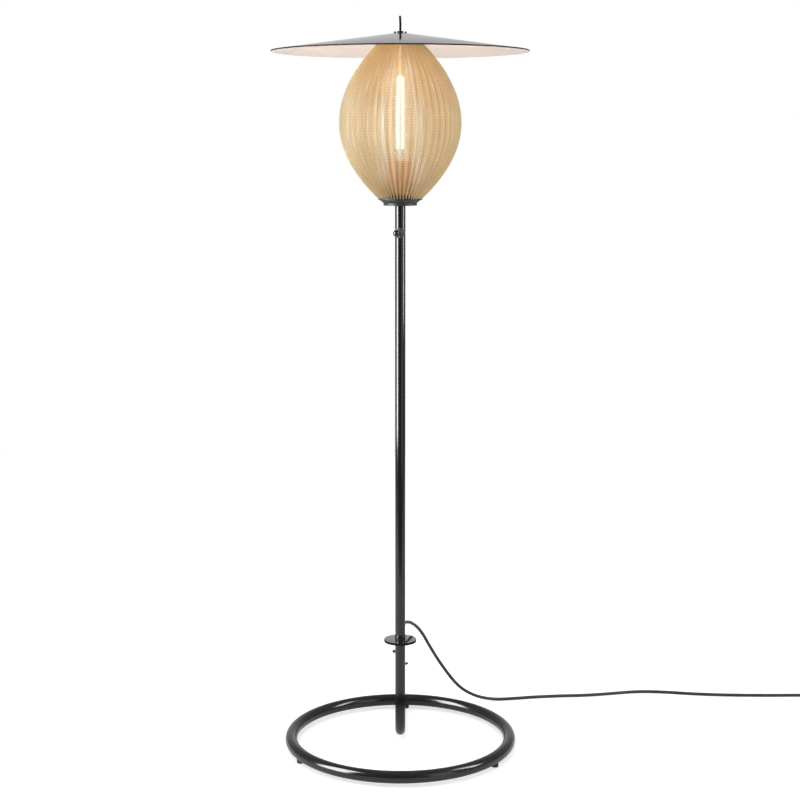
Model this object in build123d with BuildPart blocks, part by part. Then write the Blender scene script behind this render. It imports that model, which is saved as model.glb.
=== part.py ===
from build123d import *
import os
from math import asin, cos, degrees, pi, radians, sin, sqrt, tan

# Outdoor floor lamp. Millimetres, +Z up, origin on the floor under the pole's axis.
# The viewer of the lamp's front looks along +Y.

# Base ring and its rubber feet
ring_centre_radius = 184.0
ring_bar_diameter = 20.0
foot_azimuths = {"foot_back": 87.0, "foot_left": 207.0, "foot_right": 327.0}
foot_diameter = 12.0
foot_height = 5.0
foot_edge_radius = 0.8
foot_stem_diameter = 6.0
foot_stem_length = 6.0
foot_stem_clearance = 0.1
foot_hole_spare_depth = 0.5

# Upright of the base and the pole, one size of tube
tube_diameter = 17.0
tube_wall = 1.5
tube_fit_clearance = 0.1
upright_bend_radius = 35.0
collar_top = 185.0
collar_diameter = 54.0
collar_thickness = 4.0
flange_edge_radius = 1.0
spigot_wall = 2.0
spigot_length_in_upright = 80.0
spigot_length_in_pole = 60.0

# Clamp screws, both with a pad that presses on the tube inside
pad_clearance = 0.3
pad_thickness = 3.0
pad_to_screw_gap = 0.1
thread_clearance = 0.1

# Lower clamp, at the back of the upright, with a sliding bar through its head
base_clamp_drop = 40.0
base_boss_diameter = 14.0
base_boss_reach = 16.0
base_screw_diameter = 6.0
base_head_diameter = 10.0
base_head_length = 12.0
base_head_reach = 31.0
base_pad_diameter = 5.0
bar_diameter = 5.0
bar_length = 34.5
bar_clearance = 0.1
bar_tilt = 45.0
bar_end_radius = 2.0

# Upper clamp, on the pole's front, with a ball knob
top_clamp_drop = 43.7
top_clamp_azimuth = -108.0
top_boss_diameter = 16.5
top_boss_tip_diameter = 11.0
top_boss_reach = 13.5
top_screw_diameter = 5.0
top_pad_diameter = 4.0
knob_diameter = 11.0
knob_reach = 20.0
knob_screw_depth = 3.5

# Where the cord comes out of the pole
cord_diameter = 5.6
cord_exit_rise = 22.0
cord_exit_azimuth = 72.0
grommet_neck_diameter = 8.6
grommet_flange_diameter = 12.0
grommet_reach = 10.5
grommet_bore_clearance = 0.1
inner_cable_bend = 5.6

# Head: stem in the pole, flange, cup, shade
head_flange_bottom = 907.0
head_flange_diameter = 54.0
head_flange_thickness = 4.2
swivel_gap = 0.3
stem_length = 85.0
stem_bore = 10.0
cup_height = 6.5
cup_base_radius = 27.5
cup_wall = 1.2
lid_opening_diameter = 40.0
lid_seat_thickness = 4.0
shade_ring_inner_radius = 24.0
shade_ring_thickness = 1.5

# Pleated shade: two folded sheets, front and back, whose pleats keep their width from end to end
shade_end_radius = 35.5
shade_belly_radius = 97.8
shade_lower_height = 119.3
shade_upper_height = 126.0
shade_sheet = 0.8
pleat_count = 48
pleat_depth_at_belly = 2.3
shade_sections_each_half = 5

# Lampholder on its threaded nipple
nipple_diameter = 10.0
nipple_bore = 7.0
nipple_length_below = 14.0
nipple_length_above = 10.0
nut_across_flats = 14.0
nut_thickness = 3.0
holder_diameter = 38.5
holder_base_height = 24.0
holder_base_foot_diameter = 18.0
holder_shoulder_height = 12.0
holder_sleeve_height = 38.6
holder_sleeve_bore = 31.2
insulator_diameter = 29.0
insulator_thickness = 6.0
shell_bore = 26.6
shell_wall = 0.6
shell_height = 25.0
contact_diameter = 8.0
contact_thickness = 2.5

# Tubular bulb
bulb_tip_diameter = 9.0
bulb_tip_height = 2.1
bulb_cap_diameter = 26.4
bulb_cap_height = 25.0
bulb_cap_cone_height = 5.0
bulb_diameter = 30.0
bulb_glass_length = 153.0
bulb_glass_wall = 0.9
bulb_neck_diameter = 25.8
bulb_neck_height = 12.0
bulb_stem_foot_diameter = 22.0
bulb_stem_foot_thickness = 2.0
bulb_stem_top_diameter = 11.0
bulb_stem_height = 16.0
filament_diameter = 2.2
filament_spacing = 8.0
filament_height = 126.0
filament_bend_share = 0.48

# Disc that lifts off the head
disc_diameter = 410.0
disc_rise = 28.8
disc_sheet = 2.0
lid_gap = 0.3
hub_clearance = 0.4
hub_wall = 1.5
hub_top_thickness = 3.0
hub_depth = 10.0
hub_screw_spacing = 16.8
hub_screw_diameter = 2.6
hub_screw_head_diameter = 4.0
hub_screw_head_height = 2.0
hub_screw_clearance = 0.1
loop_cord_diameter = 3.2
loop_leg_gap = 0.2
loop_leg_rise = 3.0
loop_half_width = 12.0
loop_widest_rise = 15.0
loop_peak_rise = 27.0
loop_leg_radius = 6.0
loop_side_radius = 8.0
loop_peak_radius = 7.0
eyelet_wall = 0.7
eyelet_rim = 0.8
eyelet_thickness = 1.8
ferrule_wall = 1.4
ferrule_height = 6.0
leg_clearance = 0.1

# Cord: its droop from the pole as places and shares of the exit's height, then the floor, coil and plug
cord_droop = [
    (19.0, 54.0, 0.9565),
    (36.0, 88.5, 0.8357),
    (54.5, 120.7, 0.6232),
    (78.5, 153.0, 0.3961),
    (106.0, 181.5, 0.186),
    (138.0, 204.5, 0.0652),
]
cord_start_run = 15.0
cord_floor_gap = 0.1
cord_bend_share = 0.45
coil_centre = (800.0, 199.1)
coil_mid_radius = 33.5
coil_turns_across = 4
coil_layers = 2
tie_thickness = 1.0
tie_width = 10.0
tie_azimuth = 215.0
tail_length = 60.0
plug_diameter = 37.0
plug_length = 56.0
plug_relief_tip_diameter = 7.6
plug_relief_root_diameter = 10.4
plug_relief_length = 22.0
plug_shoulder_diameter = 24.0
plug_shoulder_length = 28.0
plug_face_length = 12.0
pin_diameter = 4.8
pin_length = 19.0
pin_spacing = 19.0
pin_tip_share = 0.45

# Levels and radii that several pieces share
ring_height = foot_height + ring_bar_diameter / 2
tube_radius = tube_diameter / 2
tube_bore_radius = tube_radius - tube_wall
inner_tube_radius = tube_bore_radius - tube_fit_clearance
pole_top = head_flange_bottom - swivel_gap
stem_bottom = head_flange_bottom - stem_length
base_clamp_height = collar_top - base_clamp_drop
top_clamp_height = pole_top - top_clamp_drop
cord_exit_height = collar_top + cord_exit_rise
cup_base = head_flange_bottom + head_flange_thickness
shade_bottom = cup_base + cup_height
shade_belly = shade_bottom + shade_lower_height
shade_top = shade_belly + shade_upper_height
lid_seat_bottom = shade_top + cup_height
lid_seat_top = lid_seat_bottom + lid_seat_thickness
holder_bottom = cup_base + cup_wall + nut_thickness
holder_base_top = holder_bottom + holder_base_height
bulb_bottom = holder_base_top + contact_thickness
bulb_cap_bottom = bulb_bottom + bulb_tip_height
bulb_cap_top = bulb_cap_bottom + bulb_cap_height
pad_start = inner_tube_radius + pad_clearance
screw_start = pad_start + pad_thickness + pad_to_screw_gap
grommet_face = Vector(grommet_reach, 0, cord_exit_height).rotate(Axis.Z, cord_exit_azimuth)
exit_plane = Plane(
    origin=(0, 0, cord_exit_height),
    x_dir=(0, 0, 1),
    z_dir=(cos(radians(cord_exit_azimuth)), sin(radians(cord_exit_azimuth)), 0),
)
base_clamp_plane = Plane(origin=(0, 0, base_clamp_height), x_dir=(1, 0, 0), z_dir=(0, 1, 0))
top_clamp_plane = Plane(
    origin=(0, 0, top_clamp_height),
    x_dir=(0, 0, 1),
    z_dir=(cos(radians(top_clamp_azimuth)), sin(radians(top_clamp_azimuth)), 0),
)
base_hole_radius = base_screw_diameter / 2 + thread_clearance
top_hole_radius = top_screw_diameter / 2 + thread_clearance

pieces = {}


# Ring base: solid bar closed into a ring, with a blind hole below for each foot
with BuildPart() as base_ring:
    with BuildSketch(Plane.XZ):
        with Locations((ring_centre_radius, ring_height)):
            Circle(ring_bar_diameter / 2)
    revolve(axis=Axis.Z)
    with BuildSketch(Plane.XY):
        for azimuth in foot_azimuths.values():
            with PolarLocations(ring_centre_radius, 1, start_angle=azimuth):
                Circle(foot_stem_diameter / 2 + foot_stem_clearance)
    extrude(amount=foot_height + foot_stem_length + foot_hole_spare_depth, mode=Mode.SUBTRACT)
pieces["base_ring"] = base_ring


# Rubber feet: a stud whose top follows the bar, with a stem pressed into the ring
foot_seat_height = ring_height - sqrt((ring_bar_diameter / 2) ** 2 - (foot_diameter / 2) ** 2)
for foot_name, azimuth in foot_azimuths.items():
    with BuildPart() as foot:
        with BuildSketch(Plane.XY):
            with PolarLocations(ring_centre_radius, 1, start_angle=azimuth):
                Circle(foot_diameter / 2)
        extrude(amount=foot_seat_height)
        fillet(foot.edges().group_by(Axis.Z)[0], foot_edge_radius)
        with BuildSketch(Plane.XZ):
            with Locations((ring_centre_radius, ring_height)):
                Circle(ring_bar_diameter / 2)
        revolve(axis=Axis.Z, mode=Mode.SUBTRACT)
        with BuildSketch(Plane.XY.offset(foot_height / 2)):
            with PolarLocations(ring_centre_radius, 1, start_angle=azimuth):
                Circle(foot_stem_diameter / 2)
        extrude(amount=foot_height / 2 + foot_stem_length)
    pieces[foot_name] = foot


# Upright: tube bent through a right angle, coped to the inside of the ring's back
with BuildPart() as base_upright:
    with BuildLine():
        FilletPolyline(
            (0, 0, collar_top),
            (0, 0, ring_height),
            (0, ring_centre_radius, ring_height),
            radius=upright_bend_radius,
        )
    with BuildSketch(Plane.XY.offset(collar_top)):
        Circle(tube_radius)
        Circle(tube_bore_radius, mode=Mode.SUBTRACT)
    sweep()
    with BuildSketch(Plane.XZ):
        with Locations((ring_centre_radius, ring_height)):
            Circle(ring_bar_diameter / 2)
    revolve(axis=Axis.Z, mode=Mode.SUBTRACT)
    with BuildSketch(base_clamp_plane):
        Circle(base_hole_radius)
    extrude(amount=tube_diameter, mode=Mode.SUBTRACT)
pieces["base_upright"] = base_upright


# Collar: round disc welded to the top of the upright, which the pole stands on
with BuildPart() as collar:
    with BuildSketch(Plane.XY.offset(collar_top - collar_thickness)):
        Circle(collar_diameter / 2)
    extrude(amount=collar_thickness)
    fillet(collar.edges(), flange_edge_radius)
    with Locations((0, 0, collar_top)):
        Hole(tube_radius)
pieces["collar"] = collar


# Lower clamp: welded boss, pad, screw with a drilled head, and the bar through it
with BuildPart() as base_clamp_boss:
    with BuildSketch(base_clamp_plane):
        Circle(base_boss_diameter / 2)
    extrude(amount=base_boss_reach)
    fillet(base_clamp_boss.edges().sort_by(Axis.Y)[-1], flange_edge_radius)
    with BuildSketch(base_clamp_plane):
        Circle(base_hole_radius)
    extrude(amount=base_boss_reach, mode=Mode.SUBTRACT)
    with Locations((0, 0, base_clamp_height)):
        Cylinder(tube_radius, 2 * base_boss_diameter, mode=Mode.SUBTRACT)
pieces["base_clamp_boss"] = base_clamp_boss

with BuildPart() as base_clamp_pad:
    with BuildSketch(base_clamp_plane.offset(pad_start)):
        Circle(base_pad_diameter / 2)
    extrude(amount=pad_thickness)
pieces["base_clamp_pad"] = base_clamp_pad

bar_plane = Plane(
    origin=(0, base_head_reach - base_head_length / 2, base_clamp_height),
    x_dir=(0, 1, 0),
    z_dir=(cos(radians(bar_tilt)), 0, -sin(radians(bar_tilt))),
)
with BuildPart() as base_clamp_screw:
    with BuildSketch(base_clamp_plane.offset(screw_start)):
        Circle(base_screw_diameter / 2)
    extrude(amount=base_head_reach - screw_start)
    with BuildSketch(base_clamp_plane.offset(base_head_reach - base_head_length)):
        Circle(base_head_diameter / 2)
    extrude(amount=base_head_length)
    fillet(base_clamp_screw.edges().sort_by(Axis.Y)[-1], flange_edge_radius)
    with BuildSketch(bar_plane):
        Circle(bar_diameter / 2 + bar_clearance)
    extrude(amount=base_head_diameter, both=True, mode=Mode.SUBTRACT)
pieces["base_clamp_screw"] = base_clamp_screw

with BuildPart() as base_tommy_bar:
    with BuildSketch(bar_plane):
        Circle(bar_diameter / 2)
    extrude(amount=bar_length / 2, both=True)
    fillet(base_tommy_bar.edges().filter_by(GeomType.CIRCLE), bar_end_radius)
pieces["base_tommy_bar"] = base_tommy_bar


# Pole: tube on the collar, with a hole for the cord and one for the upper clamp's pad
with BuildPart() as pole:
    with BuildSketch(Plane.XY.offset(collar_top)):
        Circle(tube_radius)
        Circle(tube_bore_radius, mode=Mode.SUBTRACT)
    extrude(amount=pole_top - collar_top)
    with BuildSketch(exit_plane):
        Circle(grommet_neck_diameter / 2)
    extrude(amount=tube_diameter, mode=Mode.SUBTRACT)
    with BuildSketch(top_clamp_plane):
        Circle(top_hole_radius)
    extrude(amount=tube_diameter, mode=Mode.SUBTRACT)
pieces["pole"] = pole

with BuildPart() as pole_spigot:
    with BuildSketch(Plane.XY.offset(collar_top - spigot_length_in_upright)):
        Circle(inner_tube_radius)
        Circle(inner_tube_radius - spigot_wall, mode=Mode.SUBTRACT)
    extrude(amount=spigot_length_in_upright + spigot_length_in_pole)
    with BuildSketch(exit_plane):
        Circle(grommet_neck_diameter / 2)
    extrude(amount=tube_diameter, mode=Mode.SUBTRACT)
pieces["pole_spigot"] = pole_spigot


# Grommet: rubber bush in the pole's wall, with a rim that follows the tube
grommet_bore_radius = cord_diameter / 2 + grommet_bore_clearance
with BuildPart() as cord_grommet:
    with BuildSketch(exit_plane):
        Circle(grommet_flange_diameter / 2)
    extrude(amount=grommet_reach)
    grommet_rim = cord_grommet.edges().filter_by(GeomType.CIRCLE).sort_by(Axis(exit_plane.location))[-1]
    fillet(grommet_rim, foot_edge_radius)
    with Locations((0, 0, cord_exit_height)):
        Cylinder(tube_radius, 2 * grommet_flange_diameter, mode=Mode.SUBTRACT)
    with BuildSketch(exit_plane.offset(inner_tube_radius)):
        Circle(grommet_neck_diameter / 2)
    extrude(amount=grommet_reach - inner_tube_radius - foot_edge_radius)
    with BuildSketch(exit_plane):
        Circle(grommet_bore_radius)
    extrude(amount=grommet_reach, mode=Mode.SUBTRACT)
pieces["cord_grommet"] = cord_grommet

with BuildPart() as pole_cable:
    with BuildLine() as pole_cable_path:
        FilletPolyline(
            grommet_face,
            (0, 0, cord_exit_height),
            (0, 0, stem_bottom - swivel_gap),
            radius=inner_cable_bend,
        )
    with BuildSketch(Plane(origin=grommet_face, z_dir=pole_cable_path.line % 0)):
        Circle(cord_diameter / 2)
    sweep()
pieces["pole_cable"] = pole_cable


# Upper clamp: tapered boss on the pole, pad, screw and ball knob
top_boss_taper = degrees(asin((top_boss_diameter - top_boss_tip_diameter) / 2 / top_boss_reach))
with BuildPart() as top_clamp_boss:
    with BuildSketch(top_clamp_plane):
        Circle(top_boss_diameter / 2)
    extrude(amount=top_boss_reach, taper=top_boss_taper)
    with BuildSketch(top_clamp_plane):
        Circle(top_hole_radius)
    extrude(amount=top_boss_reach, mode=Mode.SUBTRACT)
    with Locations((0, 0, top_clamp_height)):
        Cylinder(tube_radius, 2 * top_boss_diameter, mode=Mode.SUBTRACT)
pieces["top_clamp_boss"] = top_clamp_boss

with BuildPart() as top_clamp_pad:
    with BuildSketch(top_clamp_plane.offset(pad_start)):
        Circle(top_pad_diameter / 2)
    extrude(amount=pad_thickness)
pieces["top_clamp_pad"] = top_clamp_pad

screw_end = knob_reach - knob_diameter / 2 + knob_screw_depth
with BuildPart() as top_clamp_screw:
    with BuildSketch(top_clamp_plane.offset(screw_start)):
        Circle(top_screw_diameter / 2)
    extrude(amount=screw_end - screw_start)
pieces["top_clamp_screw"] = top_clamp_screw

with BuildPart() as ball_knob:
    with Locations(top_clamp_plane.offset(knob_reach).location):
        Sphere(knob_diameter / 2)
    with BuildSketch(top_clamp_plane.offset(screw_start)):
        Circle(top_screw_diameter / 2)
    extrude(amount=screw_end - screw_start, mode=Mode.SUBTRACT)
pieces["ball_knob"] = ball_knob


# Head stem and flange: the stem turns in the pole's top, the flange rides above its end
with BuildPart() as head_stem:
    with BuildSketch(Plane.XY.offset(stem_bottom)):
        Circle(inner_tube_radius)
        Circle(stem_bore / 2, mode=Mode.SUBTRACT)
    extrude(amount=cup_base - stem_bottom)
pieces["head_stem"] = head_stem

with BuildPart() as head_flange:
    with BuildSketch(Plane.XY.offset(head_flange_bottom)):
        Circle(head_flange_diameter / 2)
    extrude(amount=head_flange_thickness)
    fillet(head_flange.edges(), flange_edge_radius)
    with Locations((0, 0, cup_base)):
        Hole(inner_tube_radius)
pieces["head_flange"] = head_flange


# Cups: spun sheet cones at both ends of the shade, the upper one turned over and open
cup_slope = (shade_end_radius - cup_base_radius) / cup_height
cup_wall_across = cup_wall * sqrt(1 + cup_slope**2)


def cup_inner_radius(height):
    """Radius inside the cup's cone at a height above its flat."""
    return cup_base_radius + cup_slope * height - cup_wall_across


def cup_profile(level, direction, hole_radius):
    """Draw a cup's section from its flat at a level, opening up (1) or down (-1)."""
    Polyline(
        (hole_radius, level),
        (cup_base_radius, level),
        (shade_end_radius, level + direction * cup_height),
        (cup_inner_radius(cup_height), level + direction * cup_height),
        (cup_inner_radius(cup_wall), level + direction * cup_wall),
        (hole_radius, level + direction * cup_wall),
        close=True,
    )


def ring_profile(level, direction):
    """Draw the section of the flat ring that closes a cup, with its edge on the cone."""
    low = cup_height - shade_ring_thickness
    Polyline(
        (shade_ring_inner_radius, level + direction * low),
        (cup_inner_radius(low), level + direction * low),
        (cup_inner_radius(cup_height), level + direction * cup_height),
        (shade_ring_inner_radius, level + direction * cup_height),
        close=True,
    )


with BuildPart() as shade_cup:
    with BuildSketch(Plane.XZ):
        with BuildLine():
            cup_profile(cup_base, 1, nipple_diameter / 2)
        make_face()
    revolve(axis=Axis.Z)
pieces["shade_cup"] = shade_cup

with BuildPart() as shade_lower_ring:
    with BuildSketch(Plane.XZ):
        with BuildLine():
            ring_profile(cup_base, 1)
        make_face()
    revolve(axis=Axis.Z)
pieces["shade_lower_ring"] = shade_lower_ring

with BuildPart() as upper_cup:
    with BuildSketch(Plane.XZ):
        with BuildLine():
            cup_profile(lid_seat_bottom, -1, lid_opening_diameter / 2)
        make_face()
    revolve(axis=Axis.Z)
pieces["upper_cup"] = upper_cup

with BuildPart() as shade_upper_ring:
    with BuildSketch(Plane.XZ):
        with BuildLine():
            ring_profile(lid_seat_bottom, -1)
        make_face()
    revolve(axis=Axis.Z)
pieces["shade_upper_ring"] = shade_upper_ring

with BuildPart() as lid_seat:
    with BuildSketch(Plane.XY.offset(lid_seat_bottom)):
        Circle(head_flange_diameter / 2)
    extrude(amount=lid_seat_thickness)
    fillet(lid_seat.edges(), flange_edge_radius)
    with Locations((0, 0, lid_seat_top)):
        Hole(lid_opening_diameter / 2)
pieces["lid_seat"] = lid_seat


# Pleated shade: a parabola above and below the belly, folded into even pleats. The folds keep
# their width, so they deepen where the outline draws in. Two sheets meet at a fold on each side.
fold_width = sqrt((pi * shade_belly_radius / pleat_count) ** 2 + pleat_depth_at_belly**2)


def crest_radius(height):
    """Radius of the pleats' crests at a height above the floor."""
    reach = shade_upper_height if height > shade_belly else shade_lower_height
    drop = (shade_belly_radius - shade_end_radius) * ((height - shade_belly) / reach) ** 2
    return shade_belly_radius - drop


def draw_pleats(height, first_fold):
    """Draw half the zigzag at a height: round its outside, and back along its inside."""
    crest = crest_radius(height)
    half_pitch = pi * crest / pleat_count
    depth = sqrt(fold_width**2 - half_pitch**2)
    inset = shade_sheet * fold_width / half_pitch
    outside = []
    inside = []
    for fold in range(first_fold, first_fold + pleat_count + 1):
        radius = crest - depth * (fold % 2)
        angle = pi * fold / pleat_count
        outside.append((radius * cos(angle), radius * sin(angle)))
        inside.append(((radius - inset) * cos(angle), (radius - inset) * sin(angle)))
    Polyline(*outside, *reversed(inside), close=True)


shade_levels = [shade_bottom + shade_lower_height * k / shade_sections_each_half
                for k in range(shade_sections_each_half)]
shade_levels += [shade_belly + shade_upper_height * k / shade_sections_each_half
                 for k in range(shade_sections_each_half + 1)]
for half_name, first_fold in (("shade_back", 0), ("shade_front", pleat_count)):
    with BuildPart() as shade_half:
        for level in shade_levels:
            with BuildSketch(Plane.XY.offset(level)):
                with BuildLine():
                    draw_pleats(level, first_fold)
                make_face()
        loft()
    pieces[half_name] = shade_half


# Lampholder: nipple and nut through the cup, base, insulator, sleeve, shell and contact
with BuildPart() as nipple:
    with BuildSketch(Plane.XY.offset(cup_base - nipple_length_below)):
        Circle(nipple_diameter / 2)
        Circle(nipple_bore / 2, mode=Mode.SUBTRACT)
    extrude(amount=holder_bottom + nipple_length_above - cup_base + nipple_length_below)
pieces["nipple"] = nipple

with BuildPart() as nipple_nut:
    with BuildSketch(Plane.XY.offset(cup_base + cup_wall)):
        RegularPolygon(nut_across_flats / 2, 6, major_radius=False)
        Circle(nipple_diameter / 2, mode=Mode.SUBTRACT)
    extrude(amount=nut_thickness)
pieces["nipple_nut"] = nipple_nut

insulator_bottom = holder_base_top - insulator_thickness
with BuildPart() as holder_base:
    with BuildSketch(Plane.XZ):
        with BuildLine():
            Polyline(
                (holder_diameter / 2, holder_bottom + holder_shoulder_height),
                (holder_diameter / 2, holder_base_top),
                (insulator_diameter / 2, holder_base_top),
                (insulator_diameter / 2, insulator_bottom),
                (nipple_bore / 2, insulator_bottom),
                (nipple_bore / 2, holder_bottom + nipple_length_above),
                (nipple_diameter / 2, holder_bottom + nipple_length_above),
                (nipple_diameter / 2, holder_bottom),
                (holder_base_foot_diameter / 2, holder_bottom),
            )
            TangentArc(
                (holder_diameter / 2, holder_bottom + holder_shoulder_height),
                (holder_base_foot_diameter / 2, holder_bottom),
                tangent=(0, -1),
            )
        make_face()
    revolve(axis=Axis.Z)
pieces["holder_base"] = holder_base

with BuildPart() as holder_insulator:
    with BuildSketch(Plane.XY.offset(insulator_bottom)):
        Circle(insulator_diameter / 2)
    extrude(amount=insulator_thickness)
pieces["holder_insulator"] = holder_insulator

with BuildPart() as holder_sleeve:
    with BuildSketch(Plane.XY.offset(holder_base_top)):
        Circle(holder_diameter / 2)
    extrude(amount=holder_sleeve_height)
    fillet(holder_sleeve.edges().group_by(Axis.Z)[-1], flange_edge_radius)
    with Locations((0, 0, holder_base_top + holder_sleeve_height)):
        Hole(holder_sleeve_bore / 2)
pieces["holder_sleeve"] = holder_sleeve

with BuildPart() as holder_thread_shell:
    with BuildSketch(Plane.XY.offset(holder_base_top)):
        Circle(shell_bore / 2 + shell_wall)
        Circle(shell_bore / 2, mode=Mode.SUBTRACT)
    extrude(amount=shell_height)
pieces["holder_thread_shell"] = holder_thread_shell

with BuildPart() as holder_contact:
    with BuildSketch(Plane.XY.offset(holder_base_top)):
        Circle(contact_diameter / 2)
    extrude(amount=contact_thickness)
pieces["holder_contact"] = holder_contact

with BuildPart() as stem_cable:
    with BuildSketch(Plane.XY.offset(stem_bottom)):
        Circle(cord_diameter / 2)
    extrude(amount=insulator_bottom - stem_bottom)
pieces["stem_cable"] = stem_cable


# Bulb: tip, screw cap, tubular glass, inner stem and a filament folded like a hairpin
with BuildPart() as bulb_tip:
    with BuildSketch(Plane.XY.offset(bulb_bottom)):
        Circle(bulb_tip_diameter / 2)
    extrude(amount=bulb_tip_height)
pieces["bulb_tip"] = bulb_tip

with BuildPart() as bulb_cap:
    with BuildSketch(Plane.XZ):
        with BuildLine():
            Polyline(
                (0, bulb_cap_bottom),
                (bulb_tip_diameter / 2, bulb_cap_bottom),
                (bulb_cap_diameter / 2, bulb_cap_bottom + bulb_cap_cone_height),
                (bulb_cap_diameter / 2, bulb_cap_top),
                (0, bulb_cap_top),
                close=True,
            )
        make_face()
    revolve(axis=Axis.Z)
pieces["bulb_cap"] = bulb_cap

bulb_radius = bulb_diameter / 2
bulb_inner_radius = bulb_radius - bulb_glass_wall
bulb_dome_level = bulb_cap_top + bulb_glass_length - bulb_radius
bulb_neck_level = bulb_cap_top + bulb_neck_height
with BuildPart() as bulb_glass:
    with BuildSketch(Plane.XZ):
        with BuildLine():
            Polyline(
                (bulb_radius, bulb_dome_level),
                (bulb_radius, bulb_neck_level),
                (bulb_neck_diameter / 2, bulb_cap_top),
                (bulb_neck_diameter / 2 - bulb_glass_wall, bulb_cap_top),
                (bulb_inner_radius, bulb_neck_level),
                (bulb_inner_radius, bulb_dome_level),
            )
            CenterArc((0, bulb_dome_level), bulb_inner_radius, 0, 90)
            Line((0, bulb_dome_level + bulb_inner_radius), (0, bulb_dome_level + bulb_radius))
            CenterArc((0, bulb_dome_level), bulb_radius, 0, 90)
        make_face()
    revolve(axis=Axis.Z)
pieces["bulb_glass"] = bulb_glass

bulb_stem_top = bulb_cap_top + bulb_stem_height
with BuildPart() as bulb_stem:
    with BuildSketch(Plane.XZ):
        with BuildLine():
            Polyline(
                (0, bulb_cap_top),
                (bulb_stem_foot_diameter / 2, bulb_cap_top),
                (bulb_stem_foot_diameter / 2, bulb_cap_top + bulb_stem_foot_thickness),
                (bulb_stem_top_diameter / 2, bulb_stem_top),
                (0, bulb_stem_top),
                close=True,
            )
        make_face()
    revolve(axis=Axis.Z)
pieces["bulb_stem"] = bulb_stem

with BuildPart() as bulb_filament:
    with BuildLine() as filament_path:
        FilletPolyline(
            (-filament_spacing / 2, 0, bulb_stem_top),
            (-filament_spacing / 2, 0, bulb_stem_top + filament_height),
            (filament_spacing / 2, 0, bulb_stem_top + filament_height),
            (filament_spacing / 2, 0, bulb_stem_top),
            radius=filament_bend_share * filament_spacing,
        )
    with BuildSketch(Plane(origin=filament_path.line @ 0, z_dir=filament_path.line % 0)):
        Circle(filament_diameter / 2)
    sweep()
pieces["bulb_filament"] = bulb_filament


# Disc: a shallow cone of sheet that rests on the lid seat's edge
disc_slope = disc_rise / (disc_diameter / 2)
disc_drop = disc_sheet * sqrt(1 + disc_slope**2)
seat_edge_radius = head_flange_diameter / 2 - flange_edge_radius
disc_apex = lid_seat_top + lid_gap + disc_slope * seat_edge_radius + disc_drop
leg_offset = (loop_cord_diameter + loop_leg_gap) / 2
eyelet_bore_radius = leg_offset + loop_cord_diameter / 2 + leg_clearance
eyelet_neck_radius = eyelet_bore_radius + eyelet_wall
screw_hole_radius = hub_screw_diameter / 2 + hub_screw_clearance


def disc_underside(radius):
    """Height of the disc's underside at a radius."""
    return disc_apex - disc_drop - disc_slope * radius


with BuildPart() as disc:
    with BuildSketch(Plane.XZ):
        with BuildLine():
            Polyline(
                (0, disc_apex),
                (disc_diameter / 2, disc_apex - disc_rise),
                (disc_diameter / 2, disc_underside(disc_diameter / 2)),
                (0, disc_underside(0)),
                close=True,
            )
        make_face()
    revolve(axis=Axis.Z)
    with Locations((0, 0, disc_apex)):
        Hole(eyelet_neck_radius)
        with GridLocations(hub_screw_spacing, 0, 2, 1):
            Hole(screw_hole_radius)
pieces["disc"] = disc

hub_radius = lid_opening_diameter / 2 - hub_clearance
hub_bottom = disc_underside(hub_radius) - hub_depth
with BuildPart() as disc_hub:
    with BuildSketch(Plane.XZ):
        with BuildLine():
            Polyline(
                (0, disc_underside(0)),
                (hub_radius, disc_underside(hub_radius)),
                (hub_radius, hub_bottom),
                (hub_radius - hub_wall, hub_bottom),
                (hub_radius - hub_wall, disc_underside(hub_radius) - hub_top_thickness),
                (0, disc_underside(hub_radius) - hub_top_thickness),
                close=True,
            )
        make_face()
    revolve(axis=Axis.Z)
    with Locations((0, 0, disc_apex)):
        Hole(eyelet_neck_radius)
        with GridLocations(hub_screw_spacing, 0, 2, 1):
            Hole(screw_hole_radius)
pieces["disc_hub"] = disc_hub

hub_ceiling = disc_underside(hub_radius) - hub_top_thickness
screw_seat = disc_apex - disc_slope * (hub_screw_spacing / 2 - hub_screw_head_diameter / 2)
with BuildPart() as hub_screws:
    with BuildSketch(Plane.XY.offset(hub_ceiling)):
        with GridLocations(hub_screw_spacing, 0, 2, 1):
            Circle(hub_screw_diameter / 2)
    extrude(amount=screw_seat - hub_ceiling)
    with BuildSketch(Plane.XY.offset(screw_seat)):
        with GridLocations(hub_screw_spacing, 0, 2, 1):
            Circle(hub_screw_head_diameter / 2)
    extrude(amount=hub_screw_head_height)
    fillet(hub_screws.edges().group_by(Axis.Z)[-1], hub_screw_head_height / 2)
pieces["hub_screws"] = hub_screws


# Carrying loop: a soft round strap through an eyelet, held by a ferrule below
loop_bottom = hub_ceiling - ferrule_height
with BuildPart() as carry_loop:
    with BuildLine() as loop_path:
        FilletPolyline(
            (0, -leg_offset, loop_bottom),
            (0, -leg_offset, disc_apex + loop_leg_rise),
            (0, -loop_half_width, disc_apex + loop_widest_rise),
            (0, 0, disc_apex + loop_peak_rise),
            (0, loop_half_width, disc_apex + loop_widest_rise),
            (0, leg_offset, disc_apex + loop_leg_rise),
            (0, leg_offset, loop_bottom),
            radius=(loop_leg_radius, loop_side_radius, loop_peak_radius, loop_side_radius, loop_leg_radius),
        )
    with BuildSketch(Plane(origin=loop_path.line @ 0, z_dir=loop_path.line % 0)):
        Circle(loop_cord_diameter / 2)
    sweep()
pieces["carry_loop"] = carry_loop

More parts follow.
